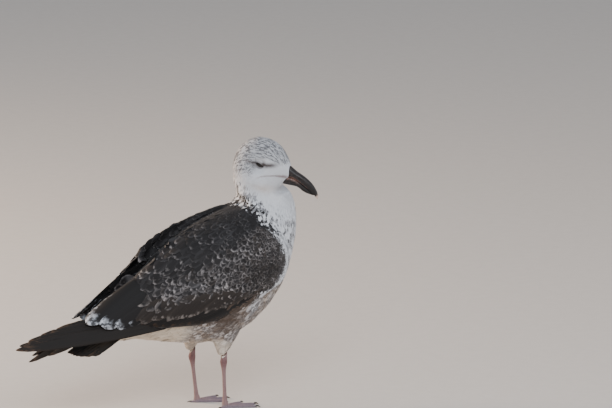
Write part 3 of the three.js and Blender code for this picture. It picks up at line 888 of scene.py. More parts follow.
def soft_mottle() -> Group:
    """Broad and fine unevenness that varies a colour."""
    inputs = {"Vector": Group.VECTOR, "Colour": Group.COLOUR, "Scale": Group.FLOAT}
    inputs |= {"Amount": Group.FLOAT}
    group = Group("Soft mottle", inputs, {"Colour": Group.COLOUR, "Value": Group.FLOAT})
    shade, given = group.shade, group.source
    cloud = shade.node("ShaderNodeTexNoise", Vector=given["Vector"], Scale=given["Scale"], Detail=4.0)
    change = shade.times(shade.maths("SUBTRACT", cloud.outputs[0], 0.5), given["Amount"])
    tone = shade.plus(change, 1.0)
    group.close(Colour=shade.toned(given["Colour"], tone), Value=cloud.outputs[0])
    return group


class Finish:
    """A material with a Principled surface and its own graph of nodes."""

    def __init__(self, name: str, roughness: float, specular: float = 0.5) -> None:
        """Makes the material and sets its constant sockets."""
        self.material = bpy.data.materials.new(name)
        self.material.use_nodes = True
        self.shade = Shade(self.material.node_tree)
        self.surface = self.material.node_tree.nodes["Principled BSDF"]
        self.surface.inputs["Roughness"].default_value = roughness
        self.surface.inputs["Specular IOR Level"].default_value = specular

    def attribute(self, name: str) -> bpy.types.Node:
        """A node that reads a colour attribute."""
        made = self.shade.tree.nodes.new("ShaderNodeAttribute")
        made.attribute_name = name
        return made

    def vane(self) -> tuple[object, object]:
        """Where a point lies across and along its vane."""
        made = self.shade.tree.nodes.new("ShaderNodeUVMap")
        made.uv_map = "Vane"
        split = self.shade.node("ShaderNodeSeparateXYZ", Vector=made.outputs[0])
        across = self.shade.maths("MULTIPLY_ADD", split.outputs[0], 2.0, -1.0)
        return across, split.outputs[1]

    def bump(self, height: object, distance: float, strength: float = 1.0) -> None:
        """Raises the surface by a height."""
        made = self.shade.node("ShaderNodeBump", Height=height, Distance=distance, Strength=strength)
        self.shade.feed(self.surface.inputs["Normal"], made.outputs[0])

    def colour(self, socket: object) -> None:
        """Feeds the base colour."""
        self.shade.feed(self.surface.inputs["Base Color"], socket)


@dataclass
class Workshop:
    """The shared groups and the materials made with them."""

    marks: Group = field(default_factory=vane_marks)
    barbs: Group = field(default_factory=barb_relief)
    scutes: Group = field(default_factory=scute_relief)
    mottle: Group = field(default_factory=soft_mottle)

    def plumage(
        self, name: str, fringe_width: float, barbs: float, depth: float, worn_gaps: float = 0.9
    ) -> Finish:
        """A finish for vanes whose paint is in their attributes.

        Args:
            name: The material's name.
            fringe_width: How much of the vane the pale fringe takes.
            barbs: How many barbs the vane's length shows.
            depth: How far the barbs change the shade.
            worn_gaps: How much of the fringe is broken where it has worn away.

        Returns:
            The finish.
        """
        finish = Finish(name, 0.66, 0.2)
        shade = finish.shade
        across, along = finish.vane()
        pattern = finish.attribute("Pattern")
        parts = shade.node("ShaderNodeSeparateColor", Color=pattern.outputs["Color"])
        painted = self.marks.place(
            shade,
            Across=across,
            Along=along,
            Ground=finish.attribute("Ground").outputs["Color"],
            Mark=finish.attribute("Mark").outputs["Color"],
            Fringe=finish.attribute("Fringe").outputs["Color"],
            Mark_Strength=parts.outputs[0],
            Mark_Width=parts.outputs[1],
            Fringe_Strength=parts.outputs[2],
            Fringe_Width=fringe_width,
            Chance=pattern.outputs["Alpha"],
            Place=shade.place(),
            Break=worn_gaps,
        )
        relief = self.barbs.place(
            shade,
            Across=across,
            Along=along,
            Barbs=barbs,
            Slant=0.35,
            Chance=pattern.outputs["Alpha"],
            Colour=painted["Colour"],
            Depth=depth,
        )
        finish.colour(relief["Colour"])
        finish.bump(relief["Height"], 0.0002, 0.6)
        finish.surface.inputs["Sheen Weight"].default_value = 0.06
        finish.surface.inputs["Sheen Roughness"].default_value = 0.5
        return finish

    def skin(self) -> Finish:
        """Downy skin under the plumage, and the bare scaly legs."""
        finish = Finish("Skin", 0.6, 0.35)
        shade = finish.shade
        place = shade.place()
        bare = finish.attribute("Bare").outputs["Fac"]
        ground = finish.attribute("Ground").outputs["Color"]
        cloudy = self.mottle.place(shade, Vector=place, Colour=ground, Scale=420.0, Amount=0.5)
        scales = self.scutes.place(shade, Vector=shade.stretched(place, (1, 1, 1.25)), Scale=820.0)
        # The gaps between the leg's scales are darkened: painted shade in the creases.
        gaps = shade.times(scales["Gaps"], bare, 0.45)
        dark = shade.mix(1.0, cloudy["Colour"], (0.35, 0.25, 0.26), "MULTIPLY")
        finish.colour(shade.mix(gaps, cloudy["Colour"], dark))
        scaly = shade.times(scales["Height"], bare)
        down = shade.times(cloudy["Value"], 0.3)
        finish.bump(shade.plus(scaly, down), 0.0003, 0.7)
        return finish


# ---------------- skin


class Coat(IntEnum):
    """Which paint a part of the skin takes."""

    BODY = 0
    SCAPULAR = 1
    COVERT = 2
    BARE = 3


FLESH = {
    "head": Coat.BODY,
    "neck": Coat.BODY,
    "trunk": Coat.BODY,
    "thigh_left": Coat.BODY,
    "thigh_right": Coat.BODY,
    "scapulars_left": Coat.SCAPULAR,
    "scapulars_right": Coat.SCAPULAR,
    "wing_coverts_left": Coat.COVERT,
    "wing_coverts_right": Coat.COVERT,
}
LEGS = ("tarsus_left", "foot_left", "tarsus_right", "foot_right")


def feathered_wing(kinds: Grid) -> Grid:
    """Whether each point is on scapulars or coverts."""
    return (kinds == Coat.SCAPULAR) | (kinds == Coat.COVERT)


def node_mesh(name: str) -> tuple[Grid, Grid]:
    """A CAD node's vertices in millimetres, with doubles merged, and its triangles."""
    points, faces = read_mesh(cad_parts[name].data)
    keys = np.round(points, 3)
    _, first, back = np.unique(keys, axis=0, return_index=True, return_inverse=True)
    return points[first], back.ravel()[faces]


def joined(parts: Iterable[tuple[Grid, Grid]]) -> tuple[Grid, Grid]:
    """Several meshes as one list of vertices and one of faces."""
    points, faces, count = [], [], 0
    for places, corners in parts:
        points.append(places)
        faces.append(corners + count)
        count += len(places)
    return np.vstack(points), np.vstack(faces)


BODY_LENGTHS = np.vstack(  # places with the length of the feathers there, in millimetres
    [
        [*HEAD.place(40, 2), 2.6],
        [*HEAD.place(36, -16), 3.0],
        [*HEAD.place(28, 16), 3.4],
        [*HEAD.place(24, -2, 17), 3.2],
        [*HEAD.place(24, -2, -17), 3.2],
        [*HEAD.place(0, 0, 20), 2.4],
        [*HEAD.place(0, 0, -20), 2.4],
        [*HEAD.place(0, 31), 5.0],
        [*HEAD.place(-30, 14), 7.0],
        [*HEAD.place(-8, -12, 27), 5.5],
        [*HEAD.place(-8, -12, -27), 5.5],
        [*HEAD.place(22, -26), 5.0],
        [118, 0, 285, 9.0], [150, -30, 262, 9.0], [150, 30, 262, 9.0], [185, 0, 250, 10.0],
        [172, -30, 215, 12.0], [172, 30, 215, 12.0], [182, 0, 190, 14.0], [140, 0, 130, 17.0],
        [120, -50, 135, 15.0], [120, 50, 135, 15.0], [70, 0, 86, 18.0], [0, 0, 96, 22.0],
        [-60, 0, 98, 24.0], [110, 0, 266, 12.0], [60, 0, 250, 19.0], [0, 0, 215, 24.0],
        [-60, 0, 160, 28.0], [80, -28, 78, 7.0], [64, 28, 78, 7.0], [84, -32, 98, 13.0],
        [68, 32, 98, 13.0],
    ]
)

WING_LENGTHS = np.array(  # forward, up, and the length of the feathers there
    [
        [154, 200, 7], [150, 230, 8], [135, 236, 9], [140, 170, 9], [128, 205, 11],
        [108, 240, 14], [90, 215, 18], [100, 190, 13], [80, 190, 14], [60, 235, 22],
        [40, 215, 28], [50, 188, 17], [10, 185, 20], [0, 215, 32], [-30, 190, 34],
        [-20, 160, 26], [75, 135, 18], [100, 150, 14],
    ]
)


def feather_length(points: Grid) -> Grid:
    """How long the feathers are at each place on the body, in millimetres."""
    weight = guide_weights(points, BODY_LENGTHS[:, :3], 4.0)
    return (weight @ BODY_LENGTHS[:, 3]) / weight.sum(1)


def wing_length(points: Grid) -> Grid:
    """How long a folded wing's feathers are, in millimetres, shorter on the inner ridge."""
    weight = guide_weights(points[:, [0, 2]], WING_LENGTHS[:, :2], 20.0)
    ridge = 0.4 + 0.6 * smoothstep(13.0, 33.0, np.abs(points[:, 1]))
    return (weight @ WING_LENGTHS[:, 2]) / weight.sum(1) * ridge


@dataclass
class Eyelids:
    """Half-closed lids around one eye, whose opening slopes down towards the bill."""

    side: float
    half_length: float = 4.9
    upper_gap: float = 1.1
    lower_gap: float = 2.0
    slope: float = -0.16
    raised: float = 0.4
    almond: float = 1.6  # the power that shapes the opening's outline
    thickness: float = 0.75
    reach: float = 1.15  # radians from the eye's axis to the lids' outer edge
    clearance: float = 0.08  # millimetres between lids and eyeball

    def build(self) -> tuple[Grid, Grid]:
        """Makes a closed shell around the eyeball with an almond opening.

        Returns:
            Its places and its quads.
        """
        around, rings = 48, 12
        angle = np.linspace(0, 2 * math.pi, around, endpoint=False)
        height = np.where(np.sin(angle) > 0, self.upper_gap, self.lower_gap)
        along = np.abs(np.cos(angle) / self.half_length) ** self.almond
        rise = np.abs(np.sin(angle) / height) ** self.almond
        opening = (along + rise) ** (-1 / self.almond)
        inner = np.arcsin(np.clip(opening / EYE_RADIUS, 0, 0.95))
        share = np.linspace(0, 1, rings)[:, None] ** 1.4
        theta = inner[None] + share * (self.reach - inner[None])
        layers = []
        outer = self.thickness * smoothstep(-0.25, 0.25, share[:, 0])
        for raise_by in (np.full(rings, self.clearance), outer):
            out = (EYE_RADIUS + raise_by)[:, None]
            forward = out * np.sin(theta) * np.cos(angle + self.slope)[None]
            up = out * np.sin(theta) * np.sin(angle + self.slope)[None] + self.raised
            right = -self.side * (EYE_OUT + out * np.cos(theta))
            layers.append(HEAD.place(forward, up, right).reshape(-1, 3))
        size = around * rings
        skin_side = grid_faces(rings, around, wrap=True)
        inside = skin_side[:, ::-1]
        column = np.arange(around)
        after = (column + 1) % around
        rim = np.stack([column, after, after + size, column + size], -1)
        last = (rings - 1) * around
        back = np.stack([column + size, after + size, after, column], -1) + last
        return np.vstack(layers), np.vstack([inside, skin_side + size, rim, back])


@dataclass
class Skin:
    """One skin over head, body, wings and legs, inside the CAD outline by the coat's depth."""

    voxel: float = 1.35
    leg_voxel: float = 0.7
    swell: float = 0.45
    leg_swell: float = 0.1

    def remeshed(self, names: Iterable[str], voxel: float, swell: float, rounds: int) -> Surface:
        """CAD nodes swollen until they meet, joined in one even mesh and smoothed."""
        parts = []
        for name in names:
            points, faces = node_mesh(name)
            parts.append((points + swell * vertex_normals(points, faces), faces))
        points, faces = joined(parts)
        rough = mesh_object("rough_flesh", points, faces)
        mesh = modified(rough, "REMESH", mode="VOXEL", voxel_size=voxel * MM)
        points, faces = read_mesh(mesh)
        bpy.data.meshes.remove(mesh)
        return Surface(relaxed(points, faces, rounds), faces)

    @staticmethod
    def rounded(flesh: Surface, kinds: Grid) -> Surface:
        """The flesh with the ridges of its wings and back worn round."""
        wing = (kinds != Coat.BODY)[:, None] * np.ones((1, 3))
        wing = smoothstep(0.05, 0.6, relaxed(wing, flesh.faces, 20))
        soft = relaxed(flesh.points, flesh.faces, 30)
        return Surface(flesh.points + wing * (soft - flesh.points), flesh.faces)

    def coat_depth(self, points: Grid, kinds: Grid) -> Grid:
        """How far the skin lies under the coat's outside, in millimetres."""
        length = np.where(feathered_wing(kinds), wing_length(points), feather_length(points))
        return np.clip(0.35 + 0.085 * length, 0.5, 2.2)

    def build(self, plumage: Plumage, workshop: Workshop) -> tuple[bpy.types.Object, Surface, Grid]:
        """Makes the skin.

        Args:
            plumage: Paints it.
            workshop: Gives its finish.

        Returns:
            The object, its surface, and the kind of coat at each vertex.
        """
        flesh = self.remeshed(FLESH, self.voxel, self.swell, 5)
        owners = CoatMap()
        kinds = owners.kinds(flesh.points)
        flesh = self.rounded(flesh, kinds)
        depth = self.coat_depth(flesh.points, kinds) + self.swell
        depth = relaxed(np.repeat(depth[:, None], 3, axis=1), flesh.faces, 12)[:, :1]
        points = relaxed(tapered(flesh.points - depth * flesh.normals), flesh.faces, 3)
        shell = mesh_object("flesh", points, flesh.faces)
        legs = self.remeshed(LEGS, self.leg_voxel, self.leg_swell, 3)
        shanks = mesh_object("shanks", legs.points - self.leg_swell * legs.normals, legs.faces)
        lids = []
        for side in SIDES.values():
            places, quads = Eyelids(side).build()
            lids.append((places, facing_out(places, split(quads))))
        lid_object = mesh_object("lids", *joined(lids))
        mesh = modified(shell, "BOOLEAN", operation="UNION", solver="MANIFOLD", object=shanks)
        whole = linked("whole", mesh)
        mesh = modified(whole, "BOOLEAN", operation="UNION", solver="MANIFOLD", object=lid_object)
        bpy.data.objects.remove(shanks)
        bpy.data.objects.remove(lid_object)
        points, faces = read_mesh(mesh)
        bpy.data.meshes.remove(mesh)
        surface = Surface(points, faces)
        kinds = owners.kinds(points)
        tones = self.tones(points, kinds, plumage)
        piece = mesh_object("skin", points, faces, tones=tones)
        piece.data.materials.append(workshop.skin().material)
        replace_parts(piece, "head", "neck", "trunk", "thigh_left", "thigh_right", *LEGS)
        return piece, surface, kinds

    def tones(self, points: Grid, kinds: Grid, plumage: Plumage) -> dict[str, Grid]:
        """The skin's colours: the coat's own markings, lids, and pink legs."""
        wing = feathered_wing(kinds)
        on_wing = plumage.wing(points, kinds == Coat.SCAPULAR).shown()
        ground = np.where(wing[:, None], on_wing, plumage.body(points).shown())
        bare = kinds == Coat.BARE
        ground = np.where(bare[:, None], self.leg_colour(points), ground)
        orbit = lid_rim(points, 3.8) * 0.6
        ground = Plumage.blend(ground, srgb(92, 84, 84), orbit)
        ground = Plumage.blend(ground, srgb(34, 29, 28), lid_rim(points, 1.5))
        strength = np.where(bare, 1.0, 0.0)[:, None] * np.ones((1, 3))
        return {"Ground": ground, "Bare": strength}

    @staticmethod
    def leg_colour(points: Grid) -> Grid:
        """Dull pink legs, redder at the heel joint, with pink webs tinted bluish as painted cool
        shade.
        """
        z = points[:, 2]
        base = rows_of(srgb(150, 122, 122), len(points))
        joint = bell(z - 61, 7.0) * 0.75
        base = Plumage.blend(base, srgb(118, 82, 83), joint)
        # The webs' bluish tint is painted cool shade.
        cool_shaded_web = smoothstep(6, 2, z)
        return Plumage.blend(base, srgb(136, 126, 138), cool_shaded_web * 0.8)


def lid_rim(points: Grid, reach: float = 1.3) -> Grid:
    """How near each point is to the edge of an eye's opening, from 0 to 1 within reach."""
    shape = Eyelids(1.0)
    forward, up, right = HEAD.measure(points).T
    c, s = math.cos(shape.slope), math.sin(shape.slope)
    along = forward * c + (up - shape.raised) * s
    rise = -forward * s + (up - shape.raised) * c
    height = np.where(rise > 0, shape.upper_gap, shape.lower_gap)
    outline = np.abs(along / shape.half_length) ** shape.almond + np.abs(rise / height) ** shape.almond
    ratio = outline ** (1 / shape.almond)
    gap = (ratio - 1) * np.hypot(along, rise) / np.maximum(ratio, 1e-6)
    return smoothstep(reach, 0.4 * reach, gap) * (np.abs(right) > 14)


class CoatMap:
    """Tells which CAD node, and so which kind of coat, is nearest to a point."""

    def __init__(self) -> None:
        """Joins the fleshy CAD nodes in one search tree."""
        names = list(FLESH) + list(LEGS)
        parts = [node_mesh(name) for name in names]
        points, faces = joined(parts)
        self.labels = np.concatenate([np.full(len(p[1]), i) for i, p in enumerate(parts)])
        self.values = np.array([FLESH.get(name, Coat.BARE).value for name in names])
        self.tree = BVHTree.FromPolygons(points.tolist(), faces.tolist())

    def kinds(self, points: Grid) -> Grid:
        """The kind of coat at each point."""
        find = self.tree.find_nearest
        index = np.fromiter((find(p)[2] for p in points), int, len(points))
        kinds = self.values[self.labels[index]]
        x, y, z = points.T
        # Skin that the folded wing hides is dressed with coverts.
        under_wing = (np.abs(y) > 24) & (z > 116) & (x > -80) & (x < -5)
        kinds[under_wing & (kinds == Coat.BODY)] = Coat.COVERT
        return kinds


def tapered(points: Grid) -> Grid:
    """Places with the rear ends of the wing coverts thinned down onto the tertials."""
    points = points.copy()
    for side, sign in SIDES.items():
        x, y, z = points.T
        chosen = np.flatnonzero((x < -12) & (x > -75) & (y * sign > 14) & (z > 108) & (z < 180))
        near, normals = tertial_sheet(side).snap(points[chosen])
        height = ((points[chosen] - near) * normals).sum(1)
        share = 0.85 * smoothstep(-14, -50, x[chosen]) * smoothstep(108, 118, z[chosen])
        points[chosen] -= normals * (np.clip(height - 0.8, 0, 15) * share)[:, None]
    return points


def wing_bed() -> Surface:
    """One smooth surface over skin and tertials, for the wing's feathers to lie on."""
    names = [*FLESH, "wing_tertials_left", "wing_tertials_right"]
    block = Skin().remeshed(names, voxel=1.7, swell=0.5, rounds=26)
    inner = relaxed(block.points - WING_COAT * block.normals, block.faces, 6)
    return Surface(relaxed(tapered(inner), block.faces, 4), block.faces)


def tertial_sheet(side: str) -> Surface:
    """The outer side of a wing's tertials, run on smoothly past its edges."""
    tops = np.array(
        [
            [-48, 20, 227], [-84, 16, 206], [-120, 12, 185], [-148, 10, 164], [-173, 8, 144],
            [-198, 7, 125], [-223, 6, 106],
        ]
    )
    bottoms = np.array(
        [
            [-40, 36, 144], [-76, 36, 134], [-112, 36, 124], [-140, 34, 119], [-166, 31, 118],
            [-192, 28, 118], [-218, 25, 118],
        ]
    )
    bulges = np.array([[8.5], [8.5], [9.0], [8.5], [7.0], [5.5], [4.5]])
    rows, columns = 60, 32
    tops, bottoms, bulges = (curve_points(knots, rows) for knots in (tops, bottoms, bulges))
    height = np.linspace(-1.5, 1.3, columns)[None, :, None]
    points = ((tops + bottoms) / 2)[:, None] + ((tops - bottoms) / 2)[:, None] * height
    points[..., 1] += (bulges * (1 - height[..., 0] ** 2)) - 1.4
    points[..., 1] *= SIDES[side]
    points = points.reshape(-1, 3) + STANCE
    faces = split(grid_faces(rows, columns))
    outward = vertex_normals(points, faces)[:, 1].mean() * SIDES[side]
    return Surface(points, faces if outward > 0 else faces[:, ::-1])


# ---------------- feathers laid on the skin


@dataclass(frozen=True)
class VaneShape:
    """The outline and build of a kind of contour feather."""

    rows: int = 6
    columns: int = 5
    width: float = 0.55  # share of the length
    camber: float = 0.10  # drop of the edges, as a share of the width
    roundness: float = 0.30
    fray: float = 0.05
    lift: float = 0.085  # height of the tip, as a share of the length
    base_lift: float = 0.35
    turn: float = 0.13  # radians of chance in the direction
    wraps: bool = True  # whether the whole vane follows the surface


@dataclass
class Roots:
    """Where feathers grow, which way they lie, and how long they are."""

    places: Grid
    ways: Grid
    lengths: Grid
    paint: Paint

    def pick(self, chosen: Grid) -> "Roots":
        """The same for some of the feathers."""
        paint = self.paint.pick(chosen)
        return Roots(self.places[chosen], self.ways[chosen], self.lengths[chosen], paint)


class CoatBuilder:
    """Lays many vanes on a surface as one mesh."""

    ALL_AROUND = tuple((i, j, k) for i in (-1, 0, 1) for j in (-1, 0, 1) for k in (-1, 0, 1))
    PROFILE = ((0, 0.12, 0.35, 0.65, 0.85, 1.0), (0.35, 0.7, 0.95, 1.0, 0.85, 0.5))
    BAKE_PATCH = 0.003  # how much of its piece's map one vane takes
    VARIED = (0.88, 1.12)  # the least and the most of its wanted size that a vane has
    MOST_LIFT = 2.3  # millimetres
    STEADY = 1.5  # how much each row keeps of the last row's upright
    SUNK = 0.25  # how far the roots lie under the surface

    def __init__(self, seed: int = 5) -> None:
        """Keeps a repeatable source of chance."""
        self.rng = np.random.default_rng(seed)

    def spread(self, places: Grid, gaps: Grid) -> Grid:
        """Chooses points that keep their own distance from each other.

        Args:
            places: Candidate points in random order.
            gaps: The least distance at each one.

        Returns:
            The numbers of the chosen points.
        """
        keys = np.floor(places / float(gaps.max())).astype(int)
        taken: dict[tuple[int, int, int], list[int]] = {}
        chosen: list[int] = []
        spots = places.tolist()
        for number, (a, b, c) in enumerate(keys.tolist()):
            x, y, z = spots[number]
            least = gaps[number] ** 2
            free = True
            for i, j, k in self.ALL_AROUND:
                for other in taken.get((a + i, b + j, c + k), ()):
                    p, q, r = spots[other]
                    if (p - x) ** 2 + (q - y) ** 2 + (r - z) ** 2 < least:
                        free = False
                        break
                if not free:
                    break
            if free:
                taken.setdefault((a, b, c), []).append(number)
                chosen.append(number)
        return np.array(chosen, int)

    def vanes(
        self, name: str, roots: Roots, shape: VaneShape, surface: Surface
    ) -> bpy.types.Object:
        """Lays a vane at each root.

        Args:
            name: The piece's name.
            roots: Where the vanes grow.
            shape: Their outline.
            surface: What they lie on.

        Returns:
            The piece.
        """
        count = len(roots.places)
        rows, columns = shape.rows, shape.columns
        rng = self.rng
        lengths = roots.lengths * rng.uniform(*self.VARIED, count)
        t = np.linspace(0, 1, rows)
        s = np.linspace(-1, 1, columns)
        spine, normals = surface.snap(roots.places)
        heading = laid(roots.ways, normals)
        side = np.cross(normals, heading)
        turn = rng.normal(0, shape.turn, count)[:, None]
        heading = unit(heading * np.cos(turn) + side * np.sin(turn))
        out = np.empty((count, rows, columns, 3))
        profile = np.interp(t, *self.PROFILE)
        widths = lengths * shape.width * rng.uniform(*self.VARIED, count) * 0.5
        bend = rng.normal(0, 0.04, count)
        tuck = rng.normal(0, 0.02, count)
        fray = rng.normal(0, shape.fray, (count, rows, columns))
        fray *= smoothstep(0.5, 1.0, t)[None, :, None]
        lift = np.minimum(shape.base_lift + shape.lift * lengths, self.MOST_LIFT)
        uprights = np.empty((count, rows, 3))
        for row in range(rows):
            if row:
                spine, normals = surface.snap(spine + heading * (lengths / (rows - 1))[:, None])
                heading = laid(heading, normals)
                normals = unit(normals + self.STEADY * uprights[:, row - 1])
            uprights[:, row] = normals
            side = np.cross(normals, heading)
            height = -self.SUNK + lift * smoothstep(-0.1, 1.0, t[row])
            for column in range(columns):
                reach = s[column] * widths * profile[row] * (1 + fray[:, row, column])
                sag = shape.roundness * s[column] ** 2 * t[row] ** 3 * widths
                along = -sag + fray[:, row, column] * lengths * 0.35
                drop = shape.camber * s[column] ** 2 * widths * 2
                rise = height - drop + tuck * lengths * s[column] + bend * lengths * t[row] ** 2 * 0.3
                place = spine + side * reach[:, None] + heading * along[:, None]
                out[:, row, column] = place + normals * rise[:, None]
        if shape.wraps:
            out = self.settled(out, uprights, lift, surface)
        size = rows * columns
        starts = (np.arange(count) * size)[:, None, None]
        quads = (grid_faces(rows, columns)[None] + starts).reshape(-1, 4)
        across = np.tile((s + 1) / 2, rows)
        down = np.repeat(t, columns)
        patch = np.stack([across - 0.5, down - 0.5], -1) * self.BAKE_PATCH
        bakes = (self.bake_places(roots.places)[:, None] + patch[None]).reshape(-1, 2)
        vane = np.tile(np.stack([across, down], -1), (count, 1))
        maps = {"OFBake": np.clip(bakes, 0, 1), "Vane": vane}
        piece = mesh_object(name, out.reshape(-1, 3), quads, maps, roots.paint.tones(size))
        LOG.info("%s: %d feathers, %d faces", name, count, len(quads))
        return piece

    @staticmethod
    def settled(out: Grid, uprights: Grid, lift: Grid, surface: Surface) -> Grid:
        """Bends whole vanes to the surface, each row of a vane as one smooth arch.

        Args:
            out: Vertex places by vane, row and column.
            uprights: The upward direction of each row.
            lift: How high each vane's tip stands.
            surface: What the vanes lie on.

        Returns:
            The new places.
        """
        rows, columns = out.shape[1:3]
        share = np.linspace(0, 1, rows)[None, :, None]
        depth = surface.heights(out)
        most = 0.4 + lift[:, None, None] * (0.3 + 0.9 * share)
        wanted = np.clip(depth, 0.1 + 0.45 * share, most)
        move = (wanted - depth) * smoothstep(0.05, 0.35, share)
        s = np.linspace(-1, 1, columns)
        basis = np.stack([np.ones(columns), s, s * s])
        fit = move @ np.linalg.pinv(basis)
        for _ in range(2):
            fit[:, 1:-1] = 0.25 * fit[:, :-2] + 0.5 * fit[:, 1:-1] + 0.25 * fit[:, 2:]
        arch = np.clip(fit @ basis, -9.0, 4.0)
        return out + uprights[:, :, None] * arch[..., None]

    @staticmethod
    def bake_places(points: Grid) -> Grid:
        """Where each root lies on its piece's own unrolled map."""
        flat = LIE.unrolled(points)
        low, high = flat.min(0), flat.max(0)
        return 0.004 + 0.992 * (flat - low) / np.maximum(high - low, 1e-6)


SMALL = VaneShape(rows=4, columns=3, width=0.34, lift=0.08, base_lift=0.3, turn=0.10, wraps=False)
MEDIUM = VaneShape(rows=6, columns=5, width=0.42, turn=0.13)
LARGE = VaneShape(rows=9, columns=7, width=0.48, turn=0.08, camber=0.06, lift=0.05)
COVERT = VaneShape(rows=7, columns=5, width=0.52, turn=0.12, camber=0.07, lift=0.06)

NECK_FOOT = 222.0  # heights in millimetres
BACK_FOOT = 150.0
THIGH_TOP = 95.0
BREAST_REAR = 98.0  # and how far forward


@dataclass(frozen=True)
class Tract:
    """One tract of contour feathers: how it is dressed, and on the body where it lies."""

    name: str
    slot: str
    shape: VaneShape
    fringe_width: float
    barbs: float
    depth: float
    takes: Callable[[Grid], Grid] | None = None


def on_head(points: Grid) -> Grid:
    """Whether each point belongs to the head's tract."""
    forward, up, _ = HEAD.measure(points).T
    return up + 0.35 * forward > -38


def on_neck(points: Grid) -> Grid:
    """Whether each point lies below the head, ahead of the mantle and above the breast."""
    return ~on_head(points) & (points[:, 2] > NECK_FOOT) & (ahead_of_mantle(points) >= -4.0)


def on_breast(points: Grid) -> Grid:
    """Whether each point lies on the breast."""
    return (points[:, 2] <= NECK_FOOT) & (points[:, 0] > BREAST_REAR)


def on_belly(points: Grid) -> Grid:
    """Whether each point lies on the belly, the flanks or under the tail."""
    x, _, z = points.T
    return (x <= BREAST_REAR) & (z < BACK_FOOT) & (z > THIGH_TOP)


def on_thighs(points: Grid) -> Grid:
    """Whether each point lies on the thighs."""
    return (points[:, 0] <= BREAST_REAR) & (points[:, 2] <= THIGH_TOP)


def on_mantle(points: Grid) -> Grid:
    """Whether each point lies on the back, behind the line from the nape."""
    x, _, z = points.T
    behind = (z <= NECK_FOOT) | (ahead_of_mantle(points) < -4.0)
    return (x <= BREAST_REAR) & (z >= BACK_FOOT) & behind


BODY_TRACTS = (
    Tract("coat_head", "pale_plumage", SMALL, 0.3, 12, 0.25, on_head),
    Tract("coat_neck", "pale_plumage", MEDIUM, 0.25, 18, 0.28, on_neck),
    Tract("coat_breast", "body_plumage", MEDIUM, 0.25, 22, 0.3, on_breast),
    Tract("coat_belly", "body_plumage", MEDIUM, 0.25, 24, 0.3, on_belly),
    Tract("coat_thighs", "pale_plumage", MEDIUM, 0.25, 18, 0.3, on_thighs),
    Tract("coat_mantle", "mantle_plumage", LARGE, 0.22, 26, 0.3, on_mantle),
)


